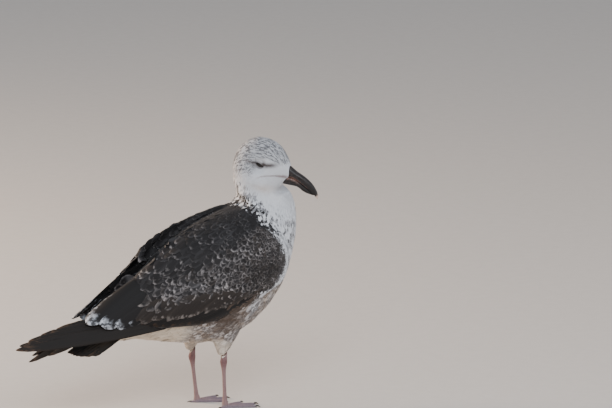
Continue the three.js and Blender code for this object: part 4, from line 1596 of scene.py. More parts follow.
class Outfit:
    """Puts feathers on the skin, tract by tract."""

    SIZES = ((0.0, 4.0), (4.0, 9.0), (9.0, 99.0))  # lengths whose roots are spread together
    CANDIDATES = {False: 190000, True: 90000}  # by whether the look is a quick one
    QUICK_SPACING = 1.4
    GAPS = (0.62, 6.0)  # the least and the most between roots, in millimetres

    def __init__(
        self, surface: Surface, kinds: Grid, bed: Surface, plumage: Plumage, workshop: Workshop
    ) -> None:
        """Keeps what the feathers need."""
        self.kinds = kinds
        self.surface = surface
        self.bed = bed
        self.plumage = plumage
        self.workshop = workshop
        self.builder = CoatBuilder()
        self.owners = CoatMap()

    def grow(self, quick: bool) -> None:
        """Finds every root and makes the pieces.

        Args:
            quick: Whether to use fewer, wider feathers for a fast look.
        """
        rng = np.random.default_rng(3)
        centres = self.surface.points[self.surface.faces].mean(axis=1)
        gaps, _ = self.spacing(centres, self.kinds[self.surface.faces[:, 0]])
        spots = self.surface.scatter(rng, self.CANDIDATES[quick], gaps)
        kinds = self.owners.kinds(spots)
        keep = (kinds != Coat.BARE) & ~self.hidden(spots)
        spots, kinds = spots[keep], kinds[keep]
        gaps, lengths = self.spacing(spots, kinds)
        gaps *= self.QUICK_SPACING if quick else 1.0
        blocks = [np.flatnonzero((lengths >= low) & (lengths < high)) for low, high in self.SIZES]
        picked = [index[self.builder.spread(spots[index], gaps[index])] for index in blocks]
        picked = np.concatenate(picked)
        spots, kinds, lengths = spots[picked], kinds[picked], lengths[picked]
        wing = kinds != Coat.BODY
        ways = np.where(wing[:, None], LIE.wing_flow(spots), LIE.flow(spots))
        paint = self.plumage.wing(spots, kinds == Coat.SCAPULAR)
        paint = paint.where(wing, self.plumage.body(spots))
        roots = Roots(spots, ways, lengths, paint)
        for tract in BODY_TRACTS:
            self.dress(tract, roots.pick(~wing & tract.takes(spots)), self.surface)
        for side, sign in SIDES.items():
            mine = spots[:, 1] * sign > 0
            scapulars = Tract(f"scapulars_coat_{side}", "mantle_plumage", LARGE, 0.22, 28, 0.3)
            chosen = mine & (kinds == Coat.SCAPULAR)
            piece = self.dress(scapulars, roots.pick(chosen), self.bed)
            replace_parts(piece, f"scapulars_{side}")
            coverts = Tract(f"coverts_coat_{side}", "covert_plumage", COVERT, 0.42, 20, 0.35)
            chosen = mine & (kinds == Coat.COVERT) & ~self.under_greater(spots)
            piece = self.dress(coverts, roots.pick(chosen), self.bed)
            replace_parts(piece, f"wing_coverts_{side}")

    def spacing(self, points: Grid, kinds: Grid) -> tuple[Grid, Grid]:
        """How far apart feathers grow at each place, and how long they are."""
        wing = kinds != Coat.BODY
        lengths = np.where(wing, wing_length(points), feather_length(points))
        ratio = np.where(wing, 0.22, 0.20)
        return np.clip(ratio * lengths, *self.GAPS), lengths

    def hidden(self, points: Grid) -> Grid:
        """Whether a point is under the bill, in an eye socket or on a lid's edge."""
        forward, up, right = HEAD.measure(points).T
        edge = np.interp(up, [-18, -8, -3, 3.4, 9, 14], [33, 40, 43, 40.4, 36.4, 34])
        under_bill = (forward > edge - 0.5) & (up > -19) & (up < 12)
        gap = np.sqrt(forward**2 + up**2 + (np.abs(right) - EYE_OUT) ** 2)
        rim = lid_rim(points, 2.6 + 0.5 * (forward > 0)) > 0.05
        return under_bill | (gap < EYE_RADIUS + 0.3) | rim

    @staticmethod
    def under_greater(points: Grid) -> Grid:
        """Whether a point lies below the greater coverts' roots, behind the flank."""
        line = np.interp(points[:, 0], [-50, -10, 40, 66, 80, 100], [159, 156, 157, 154, 146, 100])
        return (points[:, 2] < line) & (np.abs(points[:, 1]) > 25)

    def dress(self, tract: Tract, roots: Roots, surface: Surface) -> bpy.types.Object:
        """Makes one tract's piece and gives it its finish."""
        piece = self.builder.vanes(tract.name, roots, tract.shape, surface)
        finish = self.workshop.plumage(
            f"Plumage {tract.name}", tract.fringe_width, tract.barbs, tract.depth
        )
        piece.data.materials.append(finish.material)
        return piece


# ---------------- quills of wing and tail


class Outline(Enum):
    """The outline of a quill's vane."""

    POINTED = "pointed"
    ROUND = "round"
    BROAD = "broad"


OUTLINES = {  # the vane's width, as a share, at shares of its length
    Outline.POINTED: (
        [0, 0.04, 0.3, 0.6, 0.8, 0.92, 0.98, 1],
        [0.25, 0.6, 0.9, 1, 0.88, 0.6, 0.3, 0.06],
    ),
    Outline.ROUND: (
        [0, 0.04, 0.3, 0.7, 0.88, 0.95, 0.985, 1],
        [0.3, 0.6, 0.92, 1, 0.92, 0.72, 0.42, 0.08],
    ),
    Outline.BROAD: (
        [0, 0.04, 0.3, 0.7, 0.9, 0.96, 0.99, 1],
        [0.35, 0.7, 0.95, 1, 0.97, 0.82, 0.5, 0.1],
    ),
}


@dataclass(frozen=True)
class Quill:
    """One stiff feather from its root to its tip, in millimetres."""

    root: Triple
    tip: Triple
    width: float
    lean: Triple = (0.0, 0.0, 1.0)  # the way of the vane's width
    bow: Triple = (0.0, 0.0, 0.0)
    height: float = 0.0  # above the bed it lies on
    shaft: float = 0.0  # shift of the shaft, from -1 to 1 across the vane
    wear: float = 0.5  # how pale and worn its edges are


@dataclass
class QuillSet:
    """A row of stiff feathers made as closed, thin blades in one piece."""

    name: str
    quills: Sequence[Quill]
    outline: Outline
    ground: Triple
    # The edges default to worn brown warmed towards orange as painted rim light.
    fringe: Triple = TINTS.worn
    mark: Triple = TINTS.soot
    slot: str = "dark_quills"
    fringe_width: float = 0.2
    barbs: float = 90.0
    thickness: float = 0.45
    camber: float = 0.06
    seed: int = 1
    variety: float = 0.16  # how much one feather's shade differs from the next
    bed: Surface | None = None
    root_depth: float = 0.0  # how far the roots lie under the bed's top
    rows: int = 30
    columns: int = 9

    CAP_PATCH = np.array([[0, 0], [0.004, 0], [0.004, 0.004], [0, 0.004]])  # an end's bake map

    def centre_line(self, quill: Quill, t: Grid) -> Grid:
        """The quill's middle line, laid on the bed if it has one."""
        root, tip = np.array(quill.root, float), np.array(quill.tip, float)
        bow = np.array(quill.bow)[None] * np.sin(math.pi * t)[:, None]
        line = root + (tip - root) * t[:, None] + bow
        if self.bed is None:
            return line
        return relaxed_line(self.bed.snap(line)[0], 12)

    def blade(self, quill: Quill, rng: np.random.Generator) -> tuple[Grid, Grid, Grid]:
        """One closed blade.

        Args:
            quill: Its place and size.
            rng: The source of chance for its worn edge.

        Returns:
            Its places, how far across the vane each one is, and how far along.
        """
        t = np.linspace(0, 1, self.rows)
        s = np.linspace(-1, 1, self.columns)
        profile = np.interp(t, *OUTLINES[self.outline])
        line = self.centre_line(quill, t)
        heading = unit(np.gradient(line, axis=0))
        if self.bed is None:
            lean = unit(np.array(quill.lean, float))
            across = unit(lean[None] - (heading @ lean)[:, None] * heading)
            normals = np.cross(across, heading)
            if normals[len(t) // 2, 1] * quill.root[1] < 0:
                normals = -normals
        else:
            normals = unit(relaxed_line(self.bed.snap(line)[1], 20))
            across = unit(np.cross(heading, normals))
            if across[len(t) // 2, 2] < 0:
                across = -across
        worn = rng.normal(0, 1, (self.rows, self.columns))
        reach = s[None] * profile[:, None] * quill.width / 2
        notch = np.clip(rng.normal(0, 0.05, (self.rows, 2)), -0.16, 0.02) * (0.4 + quill.wear)
        notch *= smoothstep(0.45, 1.0, t)[:, None]
        edge = np.where(s[None] > 0, notch[:, 1:], notch[:, :1]) * np.abs(s[None]) ** 3
        reach = reach * (1 + edge)
        along = worn * 0.25 * smoothstep(0.9, 1.0, t)[:, None] * (0.5 + quill.wear)
        start = smoothstep(0, 0.35, t)[:, None]
        arch = 1 - s[None] ** 2
        rise = self.camber * quill.width * arch + quill.height * start
        rise = rise - self.root_depth * (1 - start)
        top = line[:, None] + across[:, None] * reach[..., None] + heading[:, None] * along[..., None]
        if self.bed is not None:
            basis = np.stack([np.ones(self.columns), s, s * s])
            fit = relaxed_line(self.bed.heights(top) @ np.linalg.pinv(basis), 16)
            top = top - normals[:, None] * np.clip(fit @ basis, -4.0, 9.0)[..., None]
        half = self.thickness * (0.35 + 0.65 * arch) * (0.35 + 0.65 * profile[:, None])
        rib = 0.35 * bell(s[None] - quill.shaft, 0.12) * (1 - 0.7 * t)[:, None]
        upper = top + normals[:, None] * (rise + half + rib)[..., None]
        lower = top + normals[:, None] * (rise - 0.1)[..., None]
        ring = np.concatenate([upper, lower[:, ::-1]], axis=1)
        return ring, np.concatenate([s, s[::-1]]), t

    def build(self, workshop: Workshop) -> bpy.types.Object:
        """Makes the row's blades as one piece, each with its own chance and shade."""
        rng = np.random.default_rng(self.seed)
        ring_size = 2 * self.columns
        blade_size = self.rows * ring_size
        last = (self.rows - 1) * ring_size
        cells = math.ceil(math.sqrt(len(self.quills)))
        points, faces, vanes, bakes, chances = [], [], [], [], []
        quads = grid_faces(self.rows, ring_size, wrap=True)
        row, column = np.divmod(np.arange(last), ring_size)
        u = np.stack([column, column + 1, column + 1, column], -1) / ring_size
        v = np.stack([row, row, row + 1, row + 1], -1) / (self.rows - 1)
        k = np.arange(self.columns - 1)
        cap = np.stack([k, k + 1, ring_size - 2 - k, ring_size - 1 - k], -1)
        for number, quill in enumerate(self.quills):
            ring, spread, t = self.blade(quill, rng)
            places = ring.reshape(-1, 3)
            every = facing_out(places, np.vstack([quads, cap[:, ::-1], cap + last]))
            flipped = every[0, 0] != quads[0, 0]
            points.append(places)
            faces.append(every + number * blade_size)
            across = np.tile((spread + 1) / 2, self.rows)
            vanes.append(np.stack([across, np.repeat(t, ring_size)], -1))
            corner = np.array([number % cells, number // cells]) / cells
            pairs = corner + (0.02 + 0.96 * np.stack([u, v], -1)) / cells
            caps = np.repeat(pairs[:1, :1], 2 * len(cap), axis=0) + self.CAP_PATCH
            pairs = np.vstack([pairs, caps])
            bakes.append((pairs[:, ::-1] if flipped else pairs).reshape(-1, 2))
            chances.append(np.full((blade_size, 1), rng.random()))
        one = np.ones((len(self.quills) * blade_size, 1))
        wear = np.repeat([q.wear for q in self.quills], blade_size)[:, None]
        pattern = np.hstack([0.35 * one, 0.5 * one, wear, np.vstack(chances)])
        shades = [1 + self.variety * (rng.random() - 0.5) for _ in self.quills]
        ground = np.array(self.ground) * np.repeat(shades, blade_size)[:, None]
        paint = Paint(ground, np.array(self.mark) * one, np.array(self.fringe) * one, pattern)
        maps = {"OFBake": np.vstack(bakes), "Vane": np.vstack(vanes)}
        piece = mesh_object(self.name, np.vstack(points), np.vstack(faces), maps, paint.tones())
        finish = workshop.plumage(f"Quills {self.name}", self.fringe_width, self.barbs, 0.3)
        piece.data.materials.append(finish.material)
        LOG.info("%s: %d quills", self.name, len(self.quills))
        return piece


def relaxed_line(points: Grid, rounds: int) -> Grid:
    """A row of points smoothed with its ends kept."""
    points = points.copy()
    for _ in range(rounds):
        points[1:-1] = 0.25 * points[:-2] + 0.5 * points[1:-1] + 0.25 * points[2:]
    return points


def along_row(knots: Sequence[Triple], count: int, sign: float) -> Grid:
    """Points spread on a smooth row, given for the right side and mirrored for the left."""
    points = curve_points(np.array(knots, float), count)
    points[:, 1] *= -sign
    return points


@dataclass
class FoldedWing:
    """The quills of one folded wing, from the primaries up to the tertials."""

    side: str
    bed: Surface
    primary_root: Triple = (-80.0, 44.0, 121.0)
    primary_rise: float = 5.0
    primary_inset: float = 1.9
    primary_width: float = 15.5

    @property
    def sign(self) -> float:
        """Which way the wing's outside faces along Y."""
        return SIDES[self.side]

    def primary_tips(self) -> Sequence[Triple]:
        """Where the longest primaries end, from the lowest up: forward, outward, up."""
        if self.side == "right":
            return (
                (-281, 5, 99.5),
                (-275, 3.4, 104),
                (-262, 1.6, 109),
                (-243, 0, 114.5),
                (-221, -1.6, 119.5),
            )
        return ((-225, 15, 84), (-254, 13, 78.5), (-250, 11.4, 87), (-238, 10, 94.5), (-220, 9, 102))

    def build(self, workshop: Workshop) -> None:
        """Makes the wing's rows of quills."""
        self.primaries().build(workshop)
        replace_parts(bpy.data.objects[f"primaries_{self.side}"], f"wing_primaries_{self.side}")
        self.tertials().build(workshop)
        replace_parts(bpy.data.objects[f"tertials_{self.side}"], f"wing_tertials_{self.side}")
        self.secondaries().build(workshop)
        self.greater_coverts().build(workshop)

    def primaries(self) -> QuillSet:
        """Long worn blades that reach past the tail."""
        root_x, root_out, root_z = self.primary_root
        quills = [
            Quill(
                root=(
                    root_x + STANCE[0],
                    self.sign * (root_out - self.primary_inset * order),
                    root_z + self.primary_rise * order,
                ),
                tip=(x + STANCE[0], self.sign * outward, z),
                width=self.primary_width,
                lean=(0.0, -0.5 * self.sign, 1.0),
                bow=(0.0, 5.0 * self.sign, 0.0),
                shaft=-0.3,
                wear=0.6,
            )
            for order, (x, outward, z) in enumerate(self.primary_tips())
        ]
        return QuillSet(
            f"primaries_{self.side}",
            quills,
            Outline.POINTED,
            srgb(34, 30, 28),
            barbs=170.0,
            thickness=0.4,
            camber=0.03,
            seed=21,
            rows=60,
        )

    def tertials(self) -> QuillSet:
        """Broad dark feathers with white notched edges over the primaries' bases."""
        sets = (
            ((0, -52, 144), (-44, -40, 127.5), 24, 0.2),
            ((-4, -47, 153), (-63, -36, 126.5), 28, 0.7),
            ((-8, -42, 165), (-82, -32, 126.0), 30, 1.2),
            ((-10, -36, 176), (-99, -29, 126.0), 29, 1.7),
            ((-12, -28, 190), (-115, -21, 129.0), 27, 2.2),
        )
        quills = [
            Quill((x, -y * self.sign, z), (a, -b * self.sign, c), width, height=height, wear=1.0)
            for (x, y, z), (a, b, c), width, height in sets
        ]
        return QuillSet(
            f"tertials_{self.side}",
            quills,
            Outline.ROUND,
            srgb(28, 27, 28),
            # White edges, tinted a little blue as painted cool shade.
            srgb(204, 210, 220),
            barbs=110.0,
            camber=0.05,
            seed=31,
            variety=1.3,
            bed=tertial_sheet(self.side),
            root_depth=0.8,
        )

    def secondaries(self) -> QuillSet:
        """A dark patch of closed secondaries below the greater coverts."""
        count = 14
        roots = ((112, -68, 156), (90, -71, 150), (66, -69, 148), (22, -60, 145))
        tips = ((58, -67, 132), (40, -63, 124.5), (4, -58, 122), (-46, -44, 121))
        rows = zip(along_row(roots, count, self.sign), along_row(tips, count, self.sign))
        quills = [
            Quill(tuple(root), tuple(tip), 13.0, height=0.1 - 0.02 * i, wear=0.3)
            for i, (root, tip) in enumerate(rows)
        ]
        return QuillSet(
            f"secondaries_{self.side}",
            quills,
            Outline.ROUND,
            srgb(24, 22, 22),
            fringe_width=0.14,
            camber=0.03,
            seed=41,
            variety=0.9,
            bed=self.bed,
            root_depth=1.0,
        )

    def greater_coverts(self) -> QuillSet:
        """A neat row of long coverts with buff and frosted edges."""
        count = 21
        rng = np.random.default_rng(9 if self.side == "left" else 8)
        roots = ((104, -69, 168), (76, -72, 171), (46, -69, 171), (18, -61, 169), (-14, -48, 167))
        tips = ((62, -69, 142), (34, -67, 138), (4, -60, 133), (-24, -51, 129), (-60, -38, 128))
        roots = along_row(roots, count, self.sign)
        tips = along_row(tips, count, self.sign)
        roots[:, [0, 2]] += rng.normal(0, 1.2, (count, 2))
        tips[:, [0, 2]] += rng.normal(0, 1.9, (count, 2))
        widths = rng.uniform(9.5, 13.0, count)
        wears = rng.uniform(0.15, 0.85, count)
        quills = [
            Quill(tuple(root), tuple(tip), width, height=0.3 + 0.02 * i, wear=wear)
            for i, (root, tip, width, wear) in enumerate(zip(roots, tips, widths, wears))
        ]
        return QuillSet(
            f"greater_coverts_{self.side}",
            quills,
            Outline.ROUND,
            srgb(50, 44, 41),
            srgb(150, 142, 138),
            slot="covert_plumage",
            fringe_width=0.22,
            barbs=60.0,
            camber=0.02,
            thickness=0.35,
            seed=51,
            bed=self.bed,
            root_depth=1.6,
        )


@dataclass
class Tail:
    """Twelve overlapping tail feathers that end in a shallow curve."""

    count: int = 12
    half_width: float = 27.0
    width: float = 17.0
    arch: float = 0.0085
    start: tuple[float, float] = (-84.0, 147.0)  # forward and up, where the tail's back begins
    fall: tuple[float, float] = (59.0, 117.0)  # how far its back falls, and over what length
    end: float = -201.5
    rounding: float = 17.0  # how much shorter the outermost feathers are
    stacking: float = 0.32  # how far each feather lies below the next one inward

    def build(self, workshop: Workshop) -> bpy.types.Object:
        """Makes the tail as one piece."""
        quills = []
        middle = (self.count - 1) / 2
        for i in range(self.count):
            place = (i - middle) / middle
            y = place * self.half_width
            tip_x = self.end + self.rounding * abs(place) ** 2.6
            down = self.stacking * abs(i - middle)
            back_x, back_z = self.start
            fallen = self.fall[0] * (back_x - tip_x) / self.fall[1]
            top = back_z - fallen - self.arch * y * y - 1.2 - down
            quills.append(
                Quill(
                    root=(STANCE[0] - 82, 0.34 * y, 145.0 - down),
                    tip=(STANCE[0] + tip_x, y, top),
                    width=self.width,
                    lean=(0.0, 1.0, -2.0 * self.arch * y),
                    bow=(0.0, 0.10 * y, 0.6),
                    shaft=-0.15 * np.sign(place),
                    wear=0.3,
                )
            )
        quills.sort(key=lambda quill: abs(quill.tip[1]), reverse=True)
        piece = QuillSet(
            "tail_feathers",
            quills,
            Outline.BROAD,
            srgb(18, 17, 17),
            fringe_width=0.1,
            barbs=120.0,
            thickness=0.3,
            camber=0.025,
            seed=61,
            rows=40,
        ).build(workshop)
        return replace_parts(piece, "tail")


@dataclass
class Claws:
    """The curved dark claws of one foot."""

    side: str
    length: float = 6.4
    toes: tuple[Triple, ...] = (  # turn in degrees, reach and half width in millimetres
        (-27.0, 37.0, 2.3),
        (0.0, 45.0, 2.5),
        (24.0, 42.0, 2.3),
        (165.0, 9.0, 1.6),
    )

    FEET = {"left": (-6.5, 25.0), "right": (9.0, -25.0)}  # forward of the stance, and along Y

    def build(self) -> bpy.types.Object:
        """Makes the four claws as one piece."""
        parts = [self.claw(*toe) for toe in self.toes]
        piece = mesh_object(f"claws_{self.side}", *joined(parts))
        finish = Finish(f"Claw horn {self.side}", 0.35)
        shade = finish.shade
        streaks = shade.grain(700.0, 3.0, shade.place())
        finish.colour(shade.mix(streaks, srgb(24, 21, 22), srgb(64, 54, 52)))
        finish.bump(streaks, 0.0001, 0.4)
        piece.data.materials.append(finish.material)
        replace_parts(piece, *(f"claw_{self.side}_{n}" for n in ("inner", "middle", "outer", "hind")))
        return piece

    def claw(self, turn: float, reach: float, half: float) -> tuple[Grid, Grid]:
        """One closed claw at the end of a toe.

        Args:
            turn: Which way the toe points, in degrees outward.
            reach: The toe's length in millimetres.
            half: Half of the toe's width.

        Returns:
            Its places and its triangles.
        """
        along, around = 20, 16
        foot_x, foot_y = self.FEET[self.side]
        t = np.linspace(0, 1, along)[:, None]
        angle = np.linspace(0, 2 * math.pi, around, endpoint=False)[None]
        root_up = (3.4 if reach < 20 else 5.2) * 0.40
        thick = half * 0.52 * (1 - t) ** 0.55 + 0.12
        middle_up = root_up + 0.5 * np.sin(math.pi * t) - (root_up - 0.45) * t**1.7
        x = reach - 2.2 + self.length * t
        y = thick * 0.8 * np.cos(angle)
        z = np.maximum(middle_up + thick * np.sin(angle), 0.1)
        turned = math.radians(turn) * np.sign(foot_y)
        c, s = math.cos(turned), math.sin(turned)
        places = [STANCE[0] + foot_x + x * c - y * s, foot_y + x * s + y * c, z]
        points = np.stack(places, -1).reshape(-1, 3)
        k = np.arange(1, around - 1)
        root = np.stack([np.zeros_like(k), k, k + 1], -1)
        tip = root + (along - 1) * around
        triangles = np.vstack([split(grid_faces(along, around, wrap=True)), root[:, ::-1], tip])
        return points, facing_out(points, triangles)


# ---------------- bill


@dataclass
class Mandible:
    """One half of the bill as rings through its edge lines, in head coordinates."""

    name: str
    node: str
    top: Grid
    bottom: Grid
    half_widths: Grid
    square_top: float
    square_bottom: float
    upper: bool

    def build(self) -> bpy.types.Object:
        """Makes the mandible with its nostril, cutting edge and colours."""
        along, around = 72, 48
        tops = curve_points(self.top, along)
        bottoms = curve_points(self.bottom, along)
        halves = curve_points(self.half_widths[:, None], along)[:, 0]
        angle = np.linspace(0, 2 * math.pi, around, endpoint=False)
        c, s = np.cos(angle), np.sin(angle)
        power = np.where(s > 0, self.square_top, self.square_bottom)
        across = np.sign(c) * np.abs(c) ** power
        rise = np.sign(s) * np.abs(s) ** power
        middle = (tops + bottoms) / 2
        half = (tops - bottoms) / 2
        plane = middle[:, None] + half[:, None] * rise[None, :, None]
        right = halves[:, None] * across[None]
        share = np.linspace(0, 1, along)[:, None] * np.ones((1, around))
        if self.upper:
            forward, up = plane[..., 0], plane[..., 1]
            # The nostril's slot and a groove above the cutting edge are pressed in.
            slot_line = 0.2 - 0.13 * (forward - 50)
            nostril = np.exp(-(((forward - 54) / 3.6) ** 2) - (((up - slot_line + 1.6) / 0.75) ** 2))
            right = right - np.sign(right) * 1.3 * nostril
            groove = bell(up - bottoms[:, None, 1] - 1.3, 0.5) * 0.25
            right = right - np.sign(right) * groove * smoothstep(1.0, 0.6, share)
        else:
            nostril = np.zeros_like(share)
        points = HEAD.place(plane[..., 0], plane[..., 1], right).reshape(-1, 3)
        ends = [HEAD.place(*middle[0], 0.0), HEAD.place(*(middle[-1] + [0.25, -0.15]), 0.0)]
        points = np.vstack([points, ends])
        column = np.arange(around)
        after = (column + 1) % around
        last = (along - 1) * around
        root = np.stack([np.full(around, along * around), after, column], -1)
        tip = np.stack([np.full(around, along * around + 1), last + column, last + after], -1)
        triangles = np.vstack([split(grid_faces(along, around, wrap=True)), root, tip])
        edge = np.abs(plane[..., 1] - (bottoms if self.upper else tops)[:, None, 1])
        values = np.stack([share, edge / 12.0, nostril], -1).reshape(-1, 3)
        values = np.vstack([values, [[0, 0, 0], [1, 0, 0]]])
        triangles = facing_out(points, triangles)
        piece = mesh_object(self.name, points, triangles, tones={"Horn": values})
        piece.data.materials.append(self.finish().material)
        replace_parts(piece, self.node)
        return piece

    def finish(self) -> Finish:
        """Black horn with a brownish pink stripe by the cutting edge and a pale tip."""
        finish = Finish(f"Horn {self.name}", 0.42, 0.35)
        shade = finish.shade
        horn = finish.attribute("Horn")
        parts = shade.node("ShaderNodeSeparateColor", Color=horn.outputs["Color"])
        share, edge, nostril = parts.outputs
        place = shade.place()
        streaks = shade.grain(260.0, 4.0, place)
        ragged = shade.maths("MULTIPLY_ADD", streaks, 0.16, -0.08)
        height = shade.plus(edge, ragged)
        black = shade.mix(streaks, srgb(14, 13, 14), srgb(40, 36, 36))
        near = shade.ramp(height, 0.24 if self.upper else 0.32, 0.08)
        run = shade.ramp(shade.plus(share, ragged), 0.70 if self.upper else 0.55, 0.3)
        flecks = shade.ramp(shade.grain(520.0, 3.0, place), 0.42, 0.6)
        stripe = shade.times(near, run, shade.maths("MULTIPLY_ADD", flecks, 0.7, 0.3))
        worn = shade.times(flecks, run, 0.12)
        colour = shade.mix(worn, black, srgb(120, 104, 100))
        colour = shade.mix(stripe, colour, srgb(142, 108, 96))
        tip = shade.ramp(shade.plus(share, ragged), 0.84, 0.93)
        if self.upper:
            colour = shade.mix(tip, colour, srgb(206, 184, 172))
        # The nostril is painted near black: painted shade in its opening.
        colour = shade.mix(shade.times(nostril, 0.9), colour, srgb(10, 9, 9))
        finish.colour(colour)
        lines = shade.grain(1.0, 3.0, shade.stretched(place, (900.0, 900.0, 500.0)))
        finish.bump(shade.plus(streaks, lines), 0.00015, 0.35)
        finish.surface.inputs["Coat Weight"].default_value = 0.1
        finish.surface.inputs["Coat Roughness"].default_value = 0.25
        return finish


def bill() -> tuple[Mandible, Mandible]:
    """The two halves of the bill."""
    upper = Mandible(
        "bill_upper_horn",
        "bill_upper",
        np.array(
            [
                [33.5, 9.6], [37.5, 8.1], [42, 6.2], [47.5, 4.4], [54, 3.0], [60, 1.4],
                [66, -0.8], [71.5, -3.6], [76.5, -7.2], [80.6, -11.2], [83.4, -15.2], [84.6, -18.3],
            ]
        ),
        np.array(
            [
                [33, -7.4], [37, -6.0], [41, -5.3], [46, -5.2], [53, -6.6], [59, -8.5],
                [64.5, -10.4], [69, -12.2], [73.6, -14.0], [77.8, -15.9], [81, -18.0], [83.2, -20.0],
            ]
        ),
        np.array([5.4, 5.8, 5.8, 5.6, 5.2, 4.8, 4.3, 3.8, 3.2, 2.5, 1.6, 0.5]),
        0.86,
        0.55,
        True,
    )
    lower = Mandible(
        "bill_lower_horn",
        "bill_lower",
        np.array(
            [
                [31.5, -8.0], [36, -6.6], [41, -5.5], [46, -5.4], [53, -6.8], [59, -8.7],
                [64.5, -10.6], [69, -12.4], [73.4, -14.2], [77.2, -16.0],
            ]
        ),
        np.array(
            [
                [33.5, -17.2], [37.5, -17.0], [42, -16.2], [47, -15.2], [53, -14.3], [57.5, -15.0],
                [62, -16.7], [67.5, -17.5], [73, -17.4], [77.6, -17.0],
            ]
        ),
        np.array([6.0, 5.9, 5.6, 5.2, 4.5, 4.1, 3.6, 3.0, 2.1, 0.6]),
        0.5,
        0.9,
        False,
    )
    return upper, lower


# ---------------- eyes


@dataclass
class Eye:
    """A dark glossy eyeball behind half-closed lids."""

    name: str
    side: float
    iris: float = 4.1
    pupil: float = 2.3
    widest: float = 8.0  # the radius that the attribute gives as 1

    def build(self) -> bpy.types.Object:
        """Makes the eyeball."""
        rings, around = 40, 64
        theta = np.linspace(0, math.pi, rings)[:, None]
        angle = np.linspace(0, 2 * math.pi, around, endpoint=False)[None]
        forward = EYE_RADIUS * np.sin(theta) * np.cos(angle)
        up = EYE_RADIUS * np.sin(theta) * np.sin(angle)
        right = -self.side * (EYE_OUT + EYE_RADIUS * np.cos(theta))
        points = HEAD.place(forward, up, right).reshape(-1, 3)
        quads = grid_faces(rings, around, wrap=True)
        if self.side < 0:
            quads = quads[:, ::-1]
        out = EYE_RADIUS * np.sin(theta) / self.widest
        turn = angle / (2 * math.pi)
        values = np.stack(np.broadcast_arrays(out, turn), -1).reshape(-1, 2)
        piece = mesh_object(self.name, points, quads, tones={"Iris": values})
        piece.data.materials.append(self.finish().material)
        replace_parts(piece, self.name.replace("_ball", ""))
        return piece

    def finish(self) -> Finish:
        """Dark brown iris with fine spokes around a black pupil, under a wet surface."""
        finish = Finish(f"Eye {self.name}", 0.2, 0.3)
        shade = finish.shade
        parts = shade.node("ShaderNodeSeparateColor", Color=finish.attribute("Iris").outputs["Color"])
        out, turn, _ = parts.outputs
        place = shade.vector(shade.times(out, 4.0), shade.times(turn, 60.0), 0.0)
        spokes = shade.grain(1.0, 3.0, place)
        iris = shade.mix(spokes, srgb(16, 10, 8), srgb(46, 29, 20))
        edge = shade.ramp(out, (self.iris - 0.6) / self.widest, self.iris / self.widest)
        colour = shade.mix(edge, iris, srgb(26, 18, 15))
        hole = shade.ramp(out, self.pupil / self.widest, (self.pupil - 0.25) / self.widest)
        finish.colour(shade.mix(hole, colour, srgb(4, 4, 5)))
        finish.surface.inputs["Coat Weight"].default_value = 0.35
        finish.surface.inputs["Coat Roughness"].default_value = 0.04
        return finish


# ---------------- scene


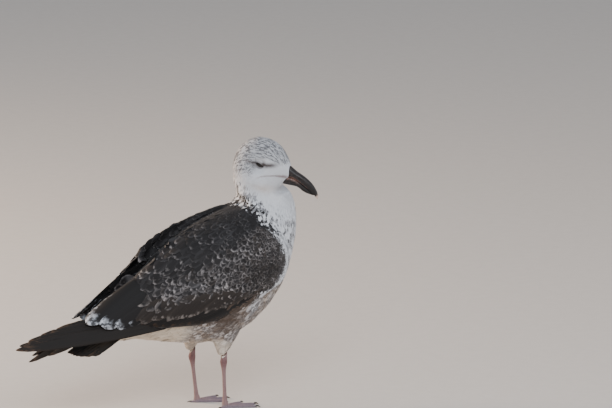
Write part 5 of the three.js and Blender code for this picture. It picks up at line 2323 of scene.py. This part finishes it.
@dataclass
class Studio:
    """A pale floor, soft lights and the camera."""

    azimuth: float = -28.0
    elevation: float = 10.0
    lens: float = 400.0
    sensor: float = 36.0
    aim: tuple[float, float] = (124.8, 261.3)  # millimetres right of and above the stance
    width: float = 612 * 1.3  # millimetres across the view at the bird: 612 pixels of 1.3

    def build(self) -> None:
        """Makes the camera first, then the floor and the lights."""
        self.camera()
        self.floor()
        self.lights()

    def camera(self) -> None:
        """Sets a long lens on the bird from a little above its back."""
        a, e = math.radians(self.azimuth), math.radians(self.elevation)
        back = Vector((math.sin(a) * math.cos(e), -math.cos(a) * math.cos(e), math.sin(e)))
        right = Vector((math.cos(a), math.sin(a), 0))
        up = back.cross(right)
        middle = Vector(STANCE) + right * self.aim[0] + up * self.aim[1]
        distance = self.width * self.lens / self.sensor
        data = bpy.data.cameras.new("camera")
        data.lens = self.lens
        data.sensor_width = self.sensor
        data.clip_end = 200.0
        camera = linked("camera", data)
        camera.location = (middle + back * distance) * MM
        camera.rotation_mode = "QUATERNION"
        camera.rotation_quaternion = back.to_track_quat("Z", "Y")
        bpy.context.scene.camera = camera

    def floor(self) -> None:
        """A wide plain floor with a faint unevenness."""
        half = 30000.0
        corners = np.array([[-half, -half, 0], [half, -half, 0], [half, half, 0], [-half, half, 0]])
        mesh = bpy.data.meshes.new("floor")
        mesh.from_pydata((corners * MM).tolist(), [], [(0, 1, 2, 3)])
        floor = linked("floor", mesh)
        finish = Finish("Floor", 0.9, 0.2)
        shade = finish.shade
        grain = shade.grain(60.0, 3.0, shade.place())
        finish.colour(shade.mix(grain, srgb(206, 202, 198), srgb(214, 210, 206)))
        mesh.materials.append(finish.material)

    def lights(self) -> None:
        """A soft cool key from the near side, a fill, and a warm light from behind."""
        self.panel("key", (-1.1, -2.4, 1.9), 1.6, 62.0, (0.93, 0.96, 1.0))
        self.panel("fill", (2.2, -1.6, 1.2), 1.8, 22.0, (0.95, 0.97, 1.0))
        self.panel("warm", (-1.6, 1.9, 1.1), 0.8, 105.0, (1.0, 0.74, 0.52))
        world = bpy.data.worlds.new("world")
        world.use_nodes = True
        world.node_tree.nodes["Background"].inputs[0].default_value = (0.82, 0.86, 0.92, 1)
        world.node_tree.nodes["Background"].inputs[1].default_value = 0.55
        bpy.context.scene.world = world

    @staticmethod
    def panel(name: str, place: tuple, size: float, power: float, colour: tuple) -> None:
        """One square light aimed at the bird."""
        data = bpy.data.lights.new(name, "AREA")
        data.size = size
        data.energy = power
        data.color = colour
        light = linked(name, data)
        light.location = place
        aim = Vector((0.03, 0.0, 0.18)) - Vector(place)
        light.rotation_mode = "QUATERNION"
        light.rotation_quaternion = aim.to_track_quat("-Z", "Y")


def main() -> None:
    """Builds the scene piece by piece."""
    logging.basicConfig(level=logging.INFO, format="%(message)s")
    Studio().build()
    workshop = Workshop()
    plumage = Plumage()
    skin, surface, kinds = Skin().build(plumage, workshop)
    LOG.info("skin: %d faces", len(skin.data.polygons))
    for mandible in bill():
        mandible.build()
    for side, sign in SIDES.items():
        Eye(f"eye_{side}_ball", sign).build()
    bed = wing_bed()
    for side in SIDES:
        FoldedWing(side, bed).build(workshop)
        Claws(side).build()
    Tail().build(workshop)
    Outfit(surface, kinds, bed, plumage, workshop).grow(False)


if __name__ == "__main__":
    main()
